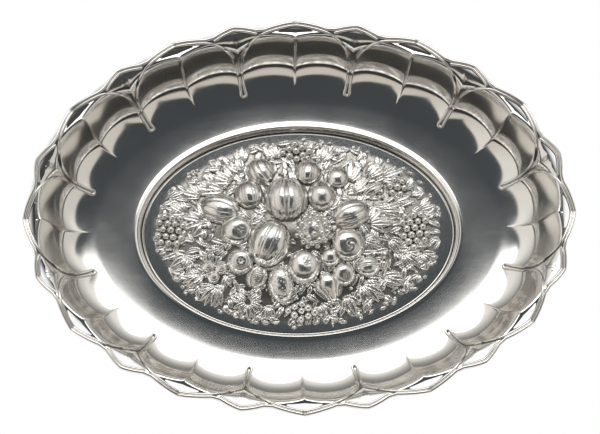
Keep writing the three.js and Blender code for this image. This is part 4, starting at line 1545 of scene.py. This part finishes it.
def make_floor():
    """White paper, bright all round and painted dark under the bowl as a deep shadow."""
    material, tree = new_material("floor_paper")
    place = tree.add("ShaderNodeTexCoord", {}, output=3)
    off_middle = tree.add("ShaderNodeVectorMath", {"operation": "SUBTRACT"}, place, SHADE_MIDDLE)
    oval = tree.add("ShaderNodeVectorMath", {"operation": "DIVIDE"}, off_middle, SHADE_REACH)
    reach = tree.add("ShaderNodeVectorMath", {"operation": "LENGTH"}, oval, output=1)
    clear = tree.add("ShaderNodeMapRange", {"interpolation_type": "SMOOTHSTEP"}, reach,
                     From_Min=SHADE_EDGE[0], From_Max=SHADE_EDGE[1])
    # Painted shadow: the paper takes the dark colour inside the oval.
    paper = tree.add("ShaderNodeBsdfDiffuse", {}, Color=tree.mix_colours(clear, DEEP_SHADE, PAPER))
    glow = tree.add("ShaderNodeEmission", {}, Color=GLOW, Strength=1.0)
    camera_ray = tree.add("ShaderNodeLightPath", {}, output=0)
    glossy_ray = tree.add("ShaderNodeLightPath", {}, output=3)
    transmission_ray = tree.add("ShaderNodeLightPath", {}, output=6)
    seen = (camera_ray + glossy_ray + transmission_ray).clamp() * clear
    tree.add("ShaderNodeOutputMaterial", {}, tree.add("ShaderNodeMixShader", {}, seen, paper, glow))
    corners = [(x, y, 0) for x, y in ((-1, -1), (1, -1), (1, 1), (-1, 1))]
    floor = mesh_object("floor", np.array(corners) * FLOOR_HALF, [(0, 1, 2, 3)], [material])


# The room as seen from the bowl, in direction cosines: x to the right, y to the back, z up
FRONT_LIGHT = (0.62, 0.58, 0.52, 1)
FRONT_TURN = (0.0, 0.6)
RIGHT_LIGHT = (0.64, 0.62, 0.58, 1)
LEFT_LIGHT = (0.78, 0.75, 0.70, 1)
SIDE_TURN = (-0.3, 0.3)
OVERHEAD_DARK = (0.05, 0.058, 0.063, 1)
OVERHEAD_WIDTH = (-0.37, 0.50)
OVERHEAD_DEPTH = (-0.50, 0.36)
OVERHEAD_START = (0.0, 0.1)
OVERHEAD_EDGE = 0.05
LOW_DARK = (0.035, 0.035, 0.033, 1)
LOW_DARK_START = 0.16
LOW_DARK_TOP = (0.31, 0.62)
LOW_DARK_TURN = (0.1, 0.5)
LOW_DARK_EDGE = 0.06
BACK_LOW = (0.17, 0.165, 0.155, 1)
BACK_HIGH = (0.85, 0.83, 0.79, 1)
BACK_RISE = (0.12, 0.70)
BACK_TURN = (0.10, 0.45)
BACK_START = (0.08, 0.16)
HORIZON_LIGHT = (0.9, 0.9, 0.9, 1)
HORIZON_RISE = (0.02, 0.22)


def make_room():
    """A pale room, dark overhead where the camera stands and dark again low down."""
    world = bpy.data.worlds.new("room")
    bpy.context.scene.world = world
    world.use_nodes = True
    world.node_tree.nodes.clear()
    tree = Tree(world.node_tree)
    right, back, height = tree.parts(tree.add("ShaderNodeTexCoord", {}, output=0))
    front = back * -1.0

    def ramp(value, low, high):
        return tree.add("ShaderNodeMapRange", {"interpolation_type": "SMOOTHSTEP"}, value, low, high)

    def band(value, low, high, edge):
        return ramp(value, low - edge, low) * (1.0 - ramp(value, high, high + edge))

    overhead = ramp(height, *OVERHEAD_START)
    for value, (low, high) in ((right, OVERHEAD_WIDTH), (back, OVERHEAD_DEPTH)):
        overhead = overhead * band(value, low, high, OVERHEAD_EDGE)
    dark_top = ramp(front * front, *LOW_DARK_TURN) * (LOW_DARK_TOP[1] - LOW_DARK_TOP[0]) + LOW_DARK_TOP[0]
    under_top = 1.0 - ramp(height - dark_top, 0.0, LOW_DARK_EDGE)
    low_dark = ramp(height, LOW_DARK_START - LOW_DARK_EDGE, LOW_DARK_START) * under_top
    behind = tree.mix_colours(ramp(height, *BACK_RISE), BACK_LOW, BACK_HIGH)
    colour = tree.mix_colours(ramp(right, *SIDE_TURN), LEFT_LIGHT, RIGHT_LIGHT)
    colour = tree.mix_colours(ramp(front, *FRONT_TURN), colour, FRONT_LIGHT)
    colour = tree.mix_colours(1.0 - ramp(height, *HORIZON_RISE), colour, HORIZON_LIGHT)
    colour = tree.mix_colours(low_dark, colour, LOW_DARK)
    colour = tree.mix_colours(ramp(back, *BACK_TURN) * ramp(height, *BACK_START), colour, behind)
    colour = tree.mix_colours(overhead, colour, OVERHEAD_DARK)
    tree.add("ShaderNodeOutputWorld", {}, tree.add("ShaderNodeBackground", {}, colour, 1.0))


# The soft box stands behind the bowl and looks down at it. Its sizes are in metres.
SOFT_BOX_PLACE = (0.05, 3.38, 4.97)
SOFT_BOX_SIZE = (4.2, 2.7)
SOFT_BOX_POWER = 62


def make_soft_box():
    lamp = bpy.data.lights.new("soft_box_back", "AREA")
    lamp.shape = "RECTANGLE"
    lamp.size, lamp.size_y = SOFT_BOX_SIZE
    lamp.energy = SOFT_BOX_POWER
    made = link("soft_box_back", lamp)
    made.location = SOFT_BOX_PLACE
    made.rotation_mode = "QUATERNION"
    made.rotation_quaternion = (-Vector(SOFT_BOX_PLACE)).to_track_quat("-Z", "Y")


scene = bpy.context.scene
scene.view_settings.view_transform = "Standard"

make_camera()
make_floor()
make_room()
make_soft_box()

sheet_silver = polished_silver("sheet_silver", 0.09, 0.006, 0.09)
wire_silver = polished_silver("wire_silver", 0.05, 0.02, 0.04)
relief_silver = chased_silver("relief_silver", 0.19, 0.45)
plate_silver = chased_silver("plate_silver", 0.07, 0.02)

shell = bowl_shell(sheet_silver)
keep(shell, ["bowl_shell"])
make_wires(wire_silver)
make_medallion(relief_silver, plate_silver)
